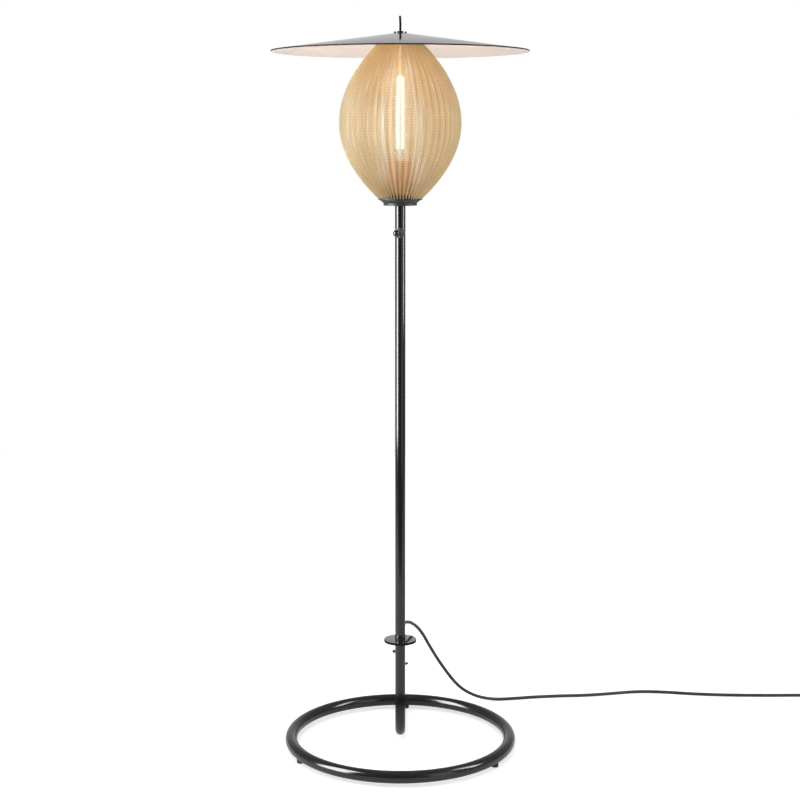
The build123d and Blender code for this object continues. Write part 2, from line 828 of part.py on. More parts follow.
with BuildPart() as loop_eyelet:
    with BuildSketch(Plane.XY.offset(hub_ceiling)):
        Circle(eyelet_neck_radius)
    extrude(amount=disc_apex - hub_ceiling)
    with BuildSketch(Plane.XY.offset(disc_apex)):
        Circle(eyelet_neck_radius + eyelet_rim)
    extrude(amount=eyelet_thickness)
    fillet(loop_eyelet.edges().group_by(Axis.Z)[-1], eyelet_rim / 2)
    with Locations((0, 0, disc_apex + eyelet_thickness)):
        Hole(eyelet_bore_radius)
pieces["loop_eyelet"] = loop_eyelet

with BuildPart() as loop_ferrule:
    with BuildSketch(Plane.XY.offset(loop_bottom)):
        Circle(eyelet_neck_radius + ferrule_wall)
        with GridLocations(0, 2 * leg_offset, 1, 2):
            Circle(loop_cord_diameter / 2 + leg_clearance / 2, mode=Mode.SUBTRACT)
    extrude(amount=ferrule_height)
pieces["loop_ferrule"] = loop_ferrule


# Mains cord: it droops from the grommet to the floor behind the ring, then wanders off
# to the right and meets its coil at the coil's far side
floor_line = cord_diameter / 2 + cord_floor_gap
coil_line = tie_thickness + cord_diameter / 2
coil_outer_line = coil_mid_radius + (coil_turns_across - 1) / 2 * cord_diameter
cord_route = [
    grommet_face,
    grommet_face + exit_plane.z_dir * cord_start_run,
    *[(x, y, cord_exit_height * share) for x, y, share in cord_droop],
    (172, 219, floor_line),
    (207, 224.5, floor_line),
    (248, 233.5, floor_line),
    (295, 239.2, floor_line),
    (342, 241.8, floor_line),
    (390, 252.2, floor_line),
    (437, 263.8, floor_line),
    (483, 261.5, floor_line),
    (530, 251.5, floor_line),
    (579, 245, floor_line),
    (630, 242.3, floor_line),
    (680, 241.8, floor_line),
    (725, 242.6, floor_line),
    (765, coil_centre[1] + coil_outer_line, coil_line),
    (coil_centre[0], coil_centre[1] + coil_outer_line, coil_line),
]


def corner_radii(route):
    """The largest even bends that the runs of a cord's route leave room for."""
    points = [Vector(point) for point in route]
    radii = []
    for before, corner, after in zip(points, points[1:], points[2:]):
        shorter = min((corner - before).length, (after - corner).length)
        turn = (corner - before).get_angle(after - corner)
        radii.append(cord_bend_share * shorter / tan(radians(turn) / 2))
    return radii


with BuildPart() as mains_cord:
    with BuildLine() as cord_path:
        FilletPolyline(*cord_route, radius=corner_radii(cord_route))
    with BuildSketch(Plane(origin=cord_path.line @ 0, z_dir=cord_path.line % 0)):
        Circle(cord_diameter / 2)
    sweep()
pieces["mains_cord"] = mains_cord

coil_width = coil_turns_across * cord_diameter
coil_height = coil_layers * cord_diameter


def coil_section_plane(azimuth):
    """Upright plane through the coil's axis, with its x axis pointing outwards."""
    outwards = Vector(1, 0, 0).rotate(Axis.Z, azimuth)
    return Plane(origin=(*coil_centre, 0), x_dir=outwards, z_dir=outwards.rotate(Axis.Z, -90))


coil_axis = Axis((*coil_centre, 0), (0, 0, 1))
with BuildPart() as cord_coil:
    with BuildSketch(coil_section_plane(0)):
        with Locations((coil_mid_radius, tie_thickness + coil_height / 2)):
            RectangleRounded(coil_width, coil_height, cord_diameter / 2)
    revolve(axis=coil_axis)
pieces["cord_coil"] = cord_coil

with BuildPart() as coil_tie:
    with BuildSketch(coil_section_plane(tie_azimuth)):
        with Locations((coil_mid_radius, tie_thickness + coil_height / 2)):
            RectangleRounded(coil_width + 2 * tie_thickness, coil_height + 2 * tie_thickness,
                             cord_diameter / 2 + tie_thickness)
            RectangleRounded(coil_width, coil_height, cord_diameter / 2, mode=Mode.SUBTRACT)
    revolve(axis=coil_axis, revolution_arc=degrees(tie_width / coil_mid_radius))
pieces["coil_tie"] = coil_tie

# Tail of the cord: off the coil's top layer, towards the front, up to the plug's middle
tail_x = coil_centre[0] + coil_outer_line
tail_start = tie_thickness + coil_height - cord_diameter / 2
plug_back = coil_centre[1] - tail_length
tail_route = [
    (tail_x, coil_centre[1], tail_start),
    (tail_x, coil_centre[1] - tail_length / 3, tail_start),
    (tail_x, coil_centre[1] - tail_length * 2 / 3, plug_diameter / 2),
    (tail_x, plug_back, plug_diameter / 2),
]
with BuildPart() as cord_tail:
    with BuildLine() as tail_path:
        FilletPolyline(*tail_route, radius=corner_radii(tail_route))
    with BuildSketch(Plane(origin=tail_path.line @ 0, z_dir=tail_path.line % 0)):
        Circle(cord_diameter / 2)
    sweep()
pieces["cord_tail"] = cord_tail

for route, path, solid in ((cord_route, cord_path, mains_cord), (tail_route, tail_path, cord_tail)):
    print("bends", [round(radius) for radius in corner_radii(route)])
    print("length", round(path.wire().length, 1), "volume against section times length",
          round(solid.part.volume / (path.wire().length * pi * cord_diameter**2 / 4), 4))

# Plug: moulded in one with its strain relief, with two round pins
plug_axis_plane = Plane(origin=(tail_x, plug_back, plug_diameter / 2), x_dir=(0, -1, 0), z_dir=(0, 0, 1))
with BuildPart() as plug_body:
    with BuildSketch(plug_axis_plane):
        with BuildLine():
            Polyline(
                (plug_length - plug_face_length, plug_diameter / 2),
                (plug_length, plug_diameter / 2),
                (plug_length, 0),
                (0, 0),
                (0, plug_relief_tip_diameter / 2),
                (plug_relief_length, plug_relief_root_diameter / 2),
                (plug_shoulder_length, plug_shoulder_diameter / 2),
            )
            TangentArc(
                (plug_length - plug_face_length, plug_diameter / 2),
                (plug_shoulder_length, plug_shoulder_diameter / 2),
                tangent=(-1, 0),
            )
        make_face()
    revolve(axis=Axis((tail_x, plug_back, plug_diameter / 2), (0, -1, 0)))
pieces["plug_body"] = plug_body

with BuildPart() as plug_pins:
    with BuildSketch(Plane(origin=(tail_x, plug_back - plug_length, plug_diameter / 2),
                           x_dir=(1, 0, 0), z_dir=(0, -1, 0))):
        with GridLocations(pin_spacing, 0, 2, 1):
            Circle(pin_diameter / 2)
    extrude(amount=pin_length)
    fillet(plug_pins.edges().group_by(Axis.Y)[0], pin_tip_share * pin_diameter)
pieces["plug_pins"] = plug_pins


os.makedirs("parts", exist_ok=True)
for piece_name, piece in pieces.items():
    piece.part.label = piece_name
    export_step(piece.part, f"parts/{piece_name}.step")
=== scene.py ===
from math import cos, hypot, pi, radians, sin, sqrt, tan

import bmesh
import bpy
import numpy as np
from mathutils import Matrix, Vector


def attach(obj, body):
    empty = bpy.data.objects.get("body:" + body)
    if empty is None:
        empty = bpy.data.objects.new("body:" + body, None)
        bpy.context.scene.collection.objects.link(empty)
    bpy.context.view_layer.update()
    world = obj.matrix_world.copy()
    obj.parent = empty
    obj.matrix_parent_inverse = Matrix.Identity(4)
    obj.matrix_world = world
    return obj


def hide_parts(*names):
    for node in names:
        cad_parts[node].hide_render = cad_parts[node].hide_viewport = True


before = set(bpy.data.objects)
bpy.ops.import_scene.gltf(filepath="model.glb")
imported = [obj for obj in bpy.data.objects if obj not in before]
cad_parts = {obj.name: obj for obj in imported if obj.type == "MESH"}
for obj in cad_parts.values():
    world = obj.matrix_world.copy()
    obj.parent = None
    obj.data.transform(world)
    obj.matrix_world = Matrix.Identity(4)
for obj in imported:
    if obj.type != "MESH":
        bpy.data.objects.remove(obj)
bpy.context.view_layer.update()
scene = bpy.context.scene


# Studio: a long lens from the front, at the shade's height and dipping a little, over a white
# floor. Softboxes fill in from the sides, the front and above. The black coat mirrors a white
# backdrop with dim sides and front, and lit panels that show as bright lines along the tubes.
lens_length, sensor_width = 74.12, 36.0
camera_place = (-0.0004, -2.6662, 1.0067)
camera_dip = 8.88
scene.view_settings.view_transform = "Standard"


def put(name, data):
    """A new object in the scene."""
    made = bpy.data.objects.new(name, data)
    scene.collection.objects.link(made)
    return made


camera_data = bpy.data.cameras.new("camera")
camera_data.lens = lens_length
camera_data.sensor_width = sensor_width
camera = put("camera", camera_data)
camera.location = camera_place
camera.rotation_euler = (radians(90.0 - camera_dip), 0.0, 0.0)
scene.camera = camera


def add_node(tree, kind, inputs=(), **settings):
    """Add a node with its settings, and set or link its inputs."""
    made = tree.nodes.new(kind)
    for key, value in settings.items():
        setattr(made, key, value)
    for key, value in dict(inputs).items():
        if isinstance(value, bpy.types.NodeSocket):
            tree.links.new(value, made.inputs[key])
        else:
            made.inputs[key].default_value = value
    return made


def calc(tree, operation, *terms):
    """A maths node's result."""
    made = add_node(tree, "ShaderNodeMath", dict(enumerate(terms)), operation=operation)
    return made.outputs[0]


def mixed(tree, factor, first, second):
    """A number between two others."""
    made = add_node(tree, "ShaderNodeMix", {0: factor, 2: first, 3: second}, data_type="FLOAT")
    return made.outputs[0]


def split(tree, vector):
    """The three numbers of a vector."""
    return add_node(tree, "ShaderNodeSeparateXYZ", {0: vector}).outputs


def light_paths(tree):
    """Whether a ray comes straight from the camera, and whether off gloss or through glass."""
    ray = add_node(tree, "ShaderNodeLightPath").outputs
    return ray["Is Camera Ray"], calc(tree, "MAXIMUM", ray["Is Glossy Ray"], ray["Is Transmission Ray"])


room_ambient = 0.6
backdrop_low, backdrop_high = 1.0, 0.95
fade_start, fade_end = 0.1, 0.25
backdrop_edge = 8.0
room_side, room_front = 0.38, 0.15
white = (1.0, 1.0, 1.0)
room = bpy.data.worlds.new("white_room")
room.use_nodes = True
scene.world = room
tree = room.node_tree
seen, through = light_paths(tree)
look = split(tree, add_node(tree, "ShaderNodeTexCoord").outputs["Generated"])
backdrop = add_node(tree, "ShaderNodeMapRange", {
    "Value": look["Z"], "From Min": fade_start, "From Max": fade_end,
    "To Min": backdrop_low, "To Max": backdrop_high,
}).outputs[0]
behind = calc(tree, "POWER", calc(tree, "MAXIMUM", look["Y"], 0.0), backdrop_edge)
ahead = calc(tree, "MAXIMUM", calc(tree, "MULTIPLY", look["Y"], -1.0), 0.0)
mirrored = mixed(tree, behind, mixed(tree, ahead, room_side, room_front), backdrop)
strength = mixed(tree, seen, mixed(tree, through, room_ambient, mirrored), 1.0)
tree.links.new(strength, tree.nodes["Background"].inputs["Strength"])
tree.nodes["Background"].inputs["Color"].default_value = (*white, 1.0)

tints = {"warm": (1.0, 0.84, 0.68), "cool": (0.88, 1.0, 1.0), "amber": (1.0, 0.9, 0.78)}
highest_aim = 1.4
softboxes = (
    ("fill_left", (-1.5, -0.2, 0.95), (0.5, 1.5), 7.2, "cool"),
    ("fill_right", (1.4, -0.75, 0.95), (0.3, 1.7), 4.7, "warm"),
    ("fill_above", (-0.3, -0.6, 2.9), (1.6, 1.6), 26.0, "diffuse"),
    ("fill_front", (-0.7, -1.9, 0.5), (1.2, 0.6), 11.0, "amber"),
    ("panel_left", (-1.41, -0.63, 1.2), (0.9, 1.95), 115.0, "glossy"),
    ("panel_right", (1.47, -0.31, 1.4), (0.35, 1.55), 26.0, "glossy"),
    ("panel_front", (1.29, -1.53, 0.95), (0.85, 1.9), 6.0, "glossy"),
)


def hang_light(name, kind, watts, colour, place):
    """A light that the camera doesn't see."""
    light = bpy.data.lights.new(name, kind)
    light.energy = watts
    light.color = colour
    lamp = put(name, light)
    lamp.location = place
    lamp.visible_camera = False
    return lamp


for name, place, size, watts, lights in softboxes:
    box = hang_light(name, "AREA", watts, tints.get(lights, white), place)
    box.data.shape = "RECTANGLE"
    box.data.size, box.data.size_y = size
    aim = Vector((0.0, 0.0, min(place[2], highest_aim))) - Vector(place)
    box.rotation_euler = aim.to_track_quat("-Z", "Y").to_euler()
    box.visible_diffuse = lights != "glossy"
    box.visible_glossy = lights == "glossy"

floor_half = 2.0
floor_front, floor_back = -0.8, 2.6
floor_grey, floor_roughness = 0.86, 0.8
floor_lift = 0.5
floor_mirrored = 0.1
floor_corners = [(-floor_half, floor_front, 0.0), (floor_half, floor_front, 0.0),
                 (floor_half, floor_back, 0.0), (-floor_half, floor_back, 0.0)]
floor_mesh = bpy.data.meshes.new("floor")
floor_mesh.from_pydata(floor_corners, [], [(0, 1, 2, 3)])
floor = put("floor", floor_mesh)
paper = bpy.data.materials.new("white_paper")
paper.use_nodes = True
tree = paper.node_tree
sheet = tree.nodes["Principled BSDF"].inputs
sheet["Base Color"].default_value = (floor_grey, floor_grey, floor_grey, 1.0)
sheet["Roughness"].default_value = floor_roughness
sheet["Emission Color"].default_value = (*white, 1.0)
seen, through = light_paths(tree)
lift = mixed(tree, seen, calc(tree, "MULTIPLY", through, floor_mirrored), floor_lift)
tree.links.new(lift, sheet["Emission Strength"])
floor_mesh.materials.append(paper)


# Base ring: solid round steel bar rolled into a ring, welded shut, ground and powder coated
# in satin black. It is the lamp's weight and stands on three studs.
mm = 0.001
ring_radius = 184.0
ring_bar_radius = 10.0
ring_height = 15.0
arc_steps = 5


def round_circle(count):
    """Angles in even steps round a full circle."""
    return [2 * pi * k / count for k in range(count)]


def eased(profile):
    """A profile with each corner that has a third number rounded to that radius."""
    points = []
    for k, (radius, height, *ease) in enumerate(profile):
        corner = Vector((radius, height))
        if not any(ease):
            points.append(corner)
            continue
        before = (Vector(profile[k - 1][:2]) - corner).normalized()
        after = (Vector(profile[(k + 1) % len(profile)][:2]) - corner).normalized()
        half = before.angle(after) / 2
        centre = corner + (before + after).normalized() * ease[0] / sin(half)
        start = corner + before * ease[0] / tan(half) - centre
        end = corner + after * ease[0] / tan(half) - centre
        for step in range(arc_steps + 1):
            points.append(centre + start.lerp(end, step / arc_steps).normalized() * ease[0])
    return points


def new_piece(name, shape, sharp=35.0):
    """An object of a finished shape, smooth but for edges sharper than an angle."""
    mesh = bpy.data.meshes.new(name)
    shape.to_mesh(mesh)
    shape.free()
    mesh.shade_smooth()
    mesh.set_sharp_from_angle(angle=radians(sharp))
    return put(name, mesh)


def skin(name, rings, closed=True, place=Matrix()):
    """A piece with faces between rings of points in millimetres. A ring of one point is a pole."""
    shape = bmesh.new()
    rings = [[shape.verts.new([c * mm for c in point]) for point in ring] for ring in rings]
    around = max(len(ring) for ring in rings)
    followers = rings[1:] + (rings[:1] if closed else [])
    for low, high in zip(rings, followers):
        for k in range(around):
            n = (k + 1) % around
            corners = [low[k % len(low)], low[n % len(low)], high[n % len(high)], high[k % len(high)]]
            corners = list(dict.fromkeys(corners))
            if len(corners) > 2:
                shape.faces.new(corners)
    bmesh.ops.recalc_face_normals(shape, faces=shape.faces)
    shape.transform(place)
    return new_piece(name, shape)


def turned(name, profile, place=Matrix(), around=96):
    """A piece turned from a profile of radius and height, solid if this starts on the axis."""
    rings = []
    for radius, height in eased(profile):
        angles = round_circle(around if radius > 0.0 else 1)
        rings.append([(radius * cos(a), radius * sin(a), height) for a in angles])
    return skin(name, rings, profile[0][0] > 0.0, place)


def surface(name, dark, light, gloss, grain, relief, **sockets):
    """A finish with two tones, or greys, in patches, gloss between two values, and a fine relief."""
    material = bpy.data.materials.new(name)
    material.use_nodes = True
    tree = material.node_tree
    shader = tree.nodes["Principled BSDF"].inputs
    for socket, value in sockets.items():
        shader[socket.replace("_", " ")].default_value = value
    place = add_node(tree, "ShaderNodeTexCoord").outputs["Object"]
    patches = add_node(tree, "ShaderNodeTexNoise", {"Vector": place, "Scale": grain[0], "Detail": 5.0})
    patches = patches.outputs["Fac"]
    tone = add_node(tree, "ShaderNodeValToRGB", {"Fac": patches})
    for element, position, colour in zip(tone.color_ramp.elements, (0.35, 0.65), (dark, light)):
        element.position = position
        element.color = (*colour, 1.0) if isinstance(colour, tuple) else (colour, colour, colour, 1.0)
    tree.links.new(tone.outputs["Color"], shader["Base Color"])
    sheen = add_node(tree, "ShaderNodeMapRange", {
        "Value": patches, "From Min": 0.3, "From Max": 0.7, "To Min": gloss[0], "To Max": gloss[1],
    })
    tree.links.new(sheen.outputs[0], shader["Roughness"])
    fine = add_node(tree, "ShaderNodeTexNoise", {"Vector": place, "Scale": grain[1], "Detail": 2.0})
    bump = add_node(tree, "ShaderNodeBump", {
        "Height": fine.outputs["Fac"], "Strength": relief, "Distance": 0.0002,
    })
    tree.links.new(bump.outputs["Normal"], shader["Normal"])
    return material


def fit(piece, material, body, slot, *nodes):
    """Give a piece its finish, the body it rides on and the solids it stands for. Its slot is not used."""
    if material is not None:
        piece.data.materials.append(material)
    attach(piece, body)
    if nodes:
        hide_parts(*nodes)
    return piece


ring_coat = surface("ring_coat", 0.006, (0.01, 0.01, 0.0095), (0.15, 0.18), (14.0, 1100.0), 0.003)
bar_section = [(ring_radius + ring_bar_radius * cos(t), ring_height + ring_bar_radius * sin(t))
               for t in round_circle(48)]
fit(turned("ring_bar", bar_section, around=256), ring_coat, "stand", "black_coat", "base_ring")


# Rubber feet: three moulded studs with a stem pressed into holes below the ring, one at the
# back and two in front. They keep the steel off the floor.
foot_radius, foot_top = 6.0, 7.0
foot_edge = 0.8
foot_count = 3
foot_first_azimuth = 87.0


def node_group(name, inputs, output):
    """A tree with named inputs and one output of geometry, and the sockets of its inputs."""
    group = bpy.data.node_groups.new(name, "GeometryNodeTree")
    for label, kind in inputs.items():
        group.interface.new_socket(label, in_out="INPUT", socket_type="NodeSocket" + kind)
    group.interface.new_socket(output, in_out="OUTPUT", socket_type="NodeSocketGeometry")
    return group, list(add_node(group, "NodeGroupInput").outputs)[:-1]


def geo(kind, inputs=(), **settings):
    """The first output of a new geometry node in the tree being made."""
    return add_node(tree, "GeometryNode" + kind, inputs, **settings).outputs[0]


def point(x=0.0, y=0.0, z=0.0):
    """A point of three numbers in the tree being made."""
    return add_node(tree, "ShaderNodeCombineXYZ", {0: x, 1: y, 2: z}).outputs[0]


def maths(operation):
    """A function that adds one kind of maths node to the tree being made."""
    return lambda *terms: calc(tree, operation, *terms)


plus, minus, times, over, power = map(maths, ("ADD", "SUBTRACT", "MULTIPLY", "DIVIDE", "POWER"))
cosine, sine, root = map(maths, ("COSINE", "SINE", "SQRT"))
round_tree, sockets = node_group("pieces_round_a_circle", {
    "Piece": "Geometry", "Count": "Int", "Circle radius": "Float", "First azimuth": "Float",
    "Finish": "Material",
}, "Pieces")
tree = round_tree
piece_in, count_in, radius_in, azimuth_in, finish_in = sockets
angle = calc(tree, "MULTIPLY_ADD", geo("InputIndex"), over(2 * pi, count_in), azimuth_in)
spot = point(times(radius_in, cosine(angle)), times(radius_in, sine(angle)))
circle = geo("Points", {"Count": count_in, "Position": spot})
placed = geo("InstanceOnPoints", {"Points": circle, "Instance": piece_in, "Rotation": point(z=angle)})
solid = geo("RealizeInstances", {0: placed})
finished = geo("SetMaterial", {"Geometry": solid, "Material": finish_in})
add_node(tree, "NodeGroupOutput", {"Pieces": finished})


def settle(piece, tree, **values):
    """Run a node tree on a piece and keep its result as a plain mesh."""
    modifier = piece.modifiers.new(tree.name, "NODES")
    modifier.node_group = tree
    for socket in tree.interface.items_tree:
        key = socket.name.replace(" ", "_")
        if socket.in_out == "INPUT" and key in values:
            modifier[socket.identifier] = values[key]
    bpy.context.view_layer.update()
    shown = piece.evaluated_get(bpy.context.evaluated_depsgraph_get())
    mesh = bpy.data.meshes.new_from_object(shown)
    piece.modifiers.clear()
    piece.data = mesh
    return piece


def band(inside, outside, low, high, low_edge=0.0, high_edge=0.0):
    """The section of a ring or, where its inside is nought, a rod, with its outer edges eased."""
    return [(inside, low), (outside, low, low_edge), (outside, high, high_edge), (inside, high)]


foot_rubber = surface("foot_rubber", 0.011, (0.022, 0.022, 0.021), (0.62, 0.8), (60.0, 1600.0), 0.25)
stud = turned("rubber_feet", band(0.0, foot_radius, 0.0, foot_top, foot_edge), around=48)
settle(stud, round_tree, Count=foot_count, Circle_radius=ring_radius * mm,
       First_azimuth=radians(foot_first_azimuth), Finish=foot_rubber)
fit(stud, None, "stand", "foot_rubber", "foot_back", "foot_left", "foot_right")


# Upright: tube of the same size as the pole, bent through a right angle, its end coped to the
# ring's inside and welded all round. The weld is dressed smooth and coated with the rest.
tube_radius, tube_bore = 8.5, 7.0
collar_top = 185.0
bend_radius = 35.0
upright_sunk = 2.0
weld_radius = 1.5
weld_ripples, weld_ripple = 16, 0.12


def arc(count, sweep=pi / 2):
    """Angles in even steps from nought to a sweep, both ends included."""
    return [sweep * k / count for k in range(count + 1)]


def piped(name, line, radius, around=40, bore=0.0):
    """A round rod, or a tube where it has a bore, along a line of points in millimetres."""
    points = [Vector(point) for point in line]
    runs = [(b - a).normalized() for a, b in zip(points, points[1:])]
    headings = [runs[0]] + [(a + b).normalized() for a, b in zip(runs, runs[1:])] + [runs[-1]]
    side = headings[0].orthogonal().normalized()
    frames = []
    for heading in headings:
        side = (side - heading * side.dot(heading)).normalized()
        frames.append((side.copy(), heading.cross(side)))

    def wall(wall_radius):
        return [[p + (u * cos(t) + v * sin(t)) * wall_radius for t in round_circle(around)]
                for p, (u, v) in zip(points, frames)]

    if bore:
        return skin(name, wall(radius) + wall(bore)[::-1])
    return skin(name, [points[:1]] + wall(radius) + [points[-1:]], False)


black_coat = surface("black_coat", 0.005, (0.008, 0.008, 0.0075), (0.1, 0.14), (14.0, 1100.0), 0.004)
bend = [(0.0, bend_radius * (1 - cos(t)), ring_height + bend_radius * (1 - sin(t))) for t in arc(24)]
upright_end = (0.0, ring_radius - ring_bar_radius + upright_sunk, ring_height)
fit(piped("upright_tube", [(0.0, 0.0, collar_top)] + bend + [upright_end], tube_radius, 64, tube_bore),
    black_coat, "stand", "black_coat", "base_upright")


def facing(azimuth, height):
    """A place on the pole's axis whose Z points out to an azimuth and whose X is level."""
    return (Matrix.Translation((0, 0, height * mm)) @ Matrix.Rotation(radians(azimuth - 90), 4, "Z")
            @ Matrix.Rotation(radians(-90), 4, "X"))


def weld(name, path, place):
    """A slightly rippled bead along a closed path round a place's Z axis."""
    rings = []
    up = Vector((0, 0, 1))
    for turn, middle in zip(round_circle(len(path)), path):
        out = Vector((cos(turn), sin(turn), 0.0))
        bead = weld_radius * (1.0 + weld_ripple * sin(weld_ripples * turn))
        rings.append([Vector(middle) + (out * cos(t) + up * sin(t)) * bead for t in round_circle(12)])
    return skin(name, rings, place=place)


foot_path = []
for turn in round_circle(64):
    x, z = tube_radius * cos(turn), tube_radius * sin(turn)
    bar_inside = ring_radius - sqrt(ring_bar_radius**2 - z**2)
    foot_path.append((x, z, sqrt(bar_inside**2 - x**2)))
fit(weld("upright_weld", foot_path, facing(90.0, ring_height)), black_coat, "stand", "black_coat")


# Collar: a turned steel disc welded to the top of the upright, glossy black. The pole stands
# on it, and it hides the joint.
collar_radius = 27.0
collar_bottom = collar_top - 4.0
flange_edge = 0.4
flat_share = 0.9
gloss_black = surface(
    "gloss_black", 0.008, (0.013, 0.013, 0.012), (0.07, 0.13), (18.0, 700.0), 0.02, IOR=3.3)
edge_black = surface(
    "edge_black", 0.004, 0.008, (0.6, 0.7), (30.0, 900.0), 0.05, Specular_IOR_Level=0.05)


def flat_disc(name, bore, low, high):
    """A flat disc with a bore and eased outer edges."""
    return turned(name, band(bore, collar_radius, low, high, flange_edge, flange_edge), around=128)


collar = flat_disc("collar_disc", tube_radius, collar_bottom, collar_top)
fit(collar, gloss_black, "stand", "black_coat", "collar")
collar.data.materials.append(edge_black)
for face in collar.data.polygons:
    face.material_index = int(abs(face.normal.z) < flat_share)


# Lower clamp: a welded boss at the back of the upright with a screw whose drilled head takes
# a sliding steel bar with black end caps. A brass pad inside presses on the pole's spigot.
clamp_height = 145.0
screw_start, screw_shoulder, screw_end = 10.3, 19.0, 31.0
thread_root, thread_crest, thread_count = 2.6, 3.0, 8
clamp_head_radius = 5.0
bar_reach, bar_lean = 25.0, 135.0
bar_radius, bar_half = 2.2, 17.25
bar_cap_radius, bar_cap_length, bar_cap_depth = 2.75, 3.4, 1.0
clamp_axis = facing(90.0, clamp_height)


def metal(*finish):
    """A finish of bare metal."""
    return surface(*finish, Metallic=1.0)


steel = metal("nickel_steel", (0.46, 0.45, 0.43), (0.62, 0.61, 0.59), (0.2, 0.34), (40.0, 1500.0), 0.06)
brass = metal("brass", (0.52, 0.36, 0.13), (0.7, 0.5, 0.22), (0.25, 0.4), (60.0, 1200.0), 0.1)


def boss(name, place, foot, tip, reach, bore, edge):
    """A drilled boss whose foot follows the round tube that it stands on, and its foot's path."""
    sections, path = [], []
    for turn in round_circle(64):
        across, out = cos(turn), tube_radius
        for _ in range(12):
            radius = foot + (tip - foot) * out / reach
            out = sqrt(tube_radius**2 - (radius * across) ** 2)
        path.append((radius * across, radius * sin(turn), out))
        section = eased([(bore, sqrt(tube_radius**2 - (bore * across) ** 2)), (radius, out),
                         (tip, reach, edge), (bore, reach)])
        sections.append([(r * across, r * sin(turn), h) for r, h in section])
    return skin(name, sections, place=place), path


lower_boss, foot_path = boss("lower_boss", clamp_axis, foot=7.0, tip=7.0, reach=16.0, bore=3.1, edge=1.0)
fit(lower_boss, black_coat, "stand", "black_coat", "base_clamp_boss")
fit(weld("lower_boss_weld", foot_path, clamp_axis), black_coat, "stand", "black_coat")
screw_line = [(0.0, screw_start), (thread_root, screw_start)]
for thread in range(thread_count):
    screw_line += [(thread_crest, screw_start + 0.3 + thread), (thread_root, screw_start + 0.8 + thread)]
screw_line += [(thread_root, screw_shoulder), (clamp_head_radius, screw_shoulder, 0.5),
               (clamp_head_radius, screw_end, 1.0), (0.0, screw_end)]
fit(turned("lower_screw", screw_line, clamp_axis, around=64),
    steel, "base_clamp_screw", "steel", "base_clamp_screw")
bar_axis = (Matrix.Translation((0, bar_reach * mm, clamp_height * mm))
            @ Matrix.Rotation(radians(bar_lean), 4, "Y"))
cap_inner = bar_half - bar_cap_length
bar_end = cap_inner + bar_cap_depth
fit(turned("sliding_bar", band(0.0, bar_radius, -bar_end, bar_end), bar_axis, around=40),
    steel, "base_clamp_screw", "steel", "base_tommy_bar")
cap_black = surface("cap_black", 0.006, 0.01, (0.35, 0.5), (80.0, 1500.0), 0.12, Specular_IOR_Level=0.2)
for side, end in (("upper", -1.0), ("lower", 1.0)):
    cap_section = band(0.0, bar_cap_radius, end * cap_inner, end * bar_half, 0.3, 2.0)
    fit(turned(f"bar_cap_{side}", cap_section, bar_axis, around=40), cap_black, "base_clamp_screw", "steel")


def clad(material, *nodes):
    """Give solids that stay as they are their finish."""
    for node in nodes:
        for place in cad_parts[node].material_slots:
            place.material = material


clad(brass, "base_clamp_pad")


# Pole: straight drawn tube, coated satin black, standing on the collar. A steel spigot in its
# lower end plugs into the upright, and a matte black rubber band rings its foot above the collar.
pole_top = 906.7
pole_edge = 0.3
seal_top = collar_top + 3.6
seal_proud = 0.2
fit(turned("pole_tube", band(tube_bore, tube_radius, collar_top, pole_top, pole_edge, pole_edge)),
    black_coat, "stand", "black_coat", "pole")
fit(turned("pole_seal", band(tube_radius - seal_proud, tube_radius + seal_proud, collar_top, seal_top,
                             0.1, 0.15)), cap_black, "stand", "foot_rubber")
clad(steel, "pole_spigot")


# Upper clamp: a tapered boss welded to the pole's front with a small screw and a ball knob,
# which holds the head's stem. The weld is dressed with the boss.
knob_radius, knob_reach = 5.5, 20.0
upper_axis = facing(-108.0, 863.0)
boss_grey = metal("boss_grey", 0.08, (0.11, 0.11, 0.108), (0.45, 0.55), (60.0, 1200.0), 0.05)
upper_boss, foot_path = boss("upper_boss", upper_axis, foot=8.25, tip=6.4, reach=13.5, bore=2.6, edge=0.9)
fit(upper_boss, boss_grey, "stand", "black_coat", "top_clamp_boss")
fit(weld("upper_boss_weld", foot_path, upper_axis), boss_grey, "stand", "black_coat")
knob_black = surface("knob_black", 0.006, 0.01, (0.06, 0.1), (60.0, 900.0), 0.01)
ball = [(knob_radius * sin(t), knob_reach - knob_radius * cos(t)) for t in arc(24, pi)[1:-1]]
ball = [(0.0, knob_reach - knob_radius)] + ball + [(0.0, knob_reach + knob_radius)]
fit(turned("knob_ball", ball, upper_axis, around=48), knob_black, "top_clamp_screw", "black_coat",
    "ball_knob")
clad(steel, "top_clamp_screw")
clad(brass, "top_clamp_pad")


# Head stem and flange: the steel stem turns in the pole's top, and the black flange on it
# rides just above the pole's end.
stem_radius = 6.9
flange_bottom, flange_top = 907.0, 911.2
satin_black = surface(
    "satin_black", 0.02, (0.027, 0.027, 0.026), (0.42, 0.5), (20.0, 900.0), 0.03, Specular_IOR_Level=0.35)
fit(flat_disc("flange_disc", stem_radius, flange_bottom, flange_top),
    satin_black, "head", "black_coat", "head_flange")
clad(steel, "head_stem")


# Cups: spun sheet cones with a rolled rim that hold the two ends of the shade, each closed by
# a flat ring. The upper cup is the lower one turned over, and is open in the middle for the
# bulb. A dark rubber cone on the lower ring fills the foot of the folds: painted shade, a dark
# piece standing in for the shadow deep between the pleats at the cup.
cup_height = 6.5
cup_foot, cup_mouth = 27.5, 35.5
cup_wall = 1.2
rim_height, rim_proud = 1.5, 0.2
dark_fill_foot, dark_fill_top = 34.8, 37.0
dark_fill_height, dark_fill_lip, dark_fill_sheet = 7.5, 0.8, 1.0
ring_inside, ring_sheet = 24.0, 1.5
seat_bottom, seat_top = 1169.5, 1173.5
seat_bore = 20.0
nipple_radius = 5.0
cup_slope = (cup_mouth - cup_foot) / cup_height
cup_across = cup_wall * hypot(1.0, cup_slope)


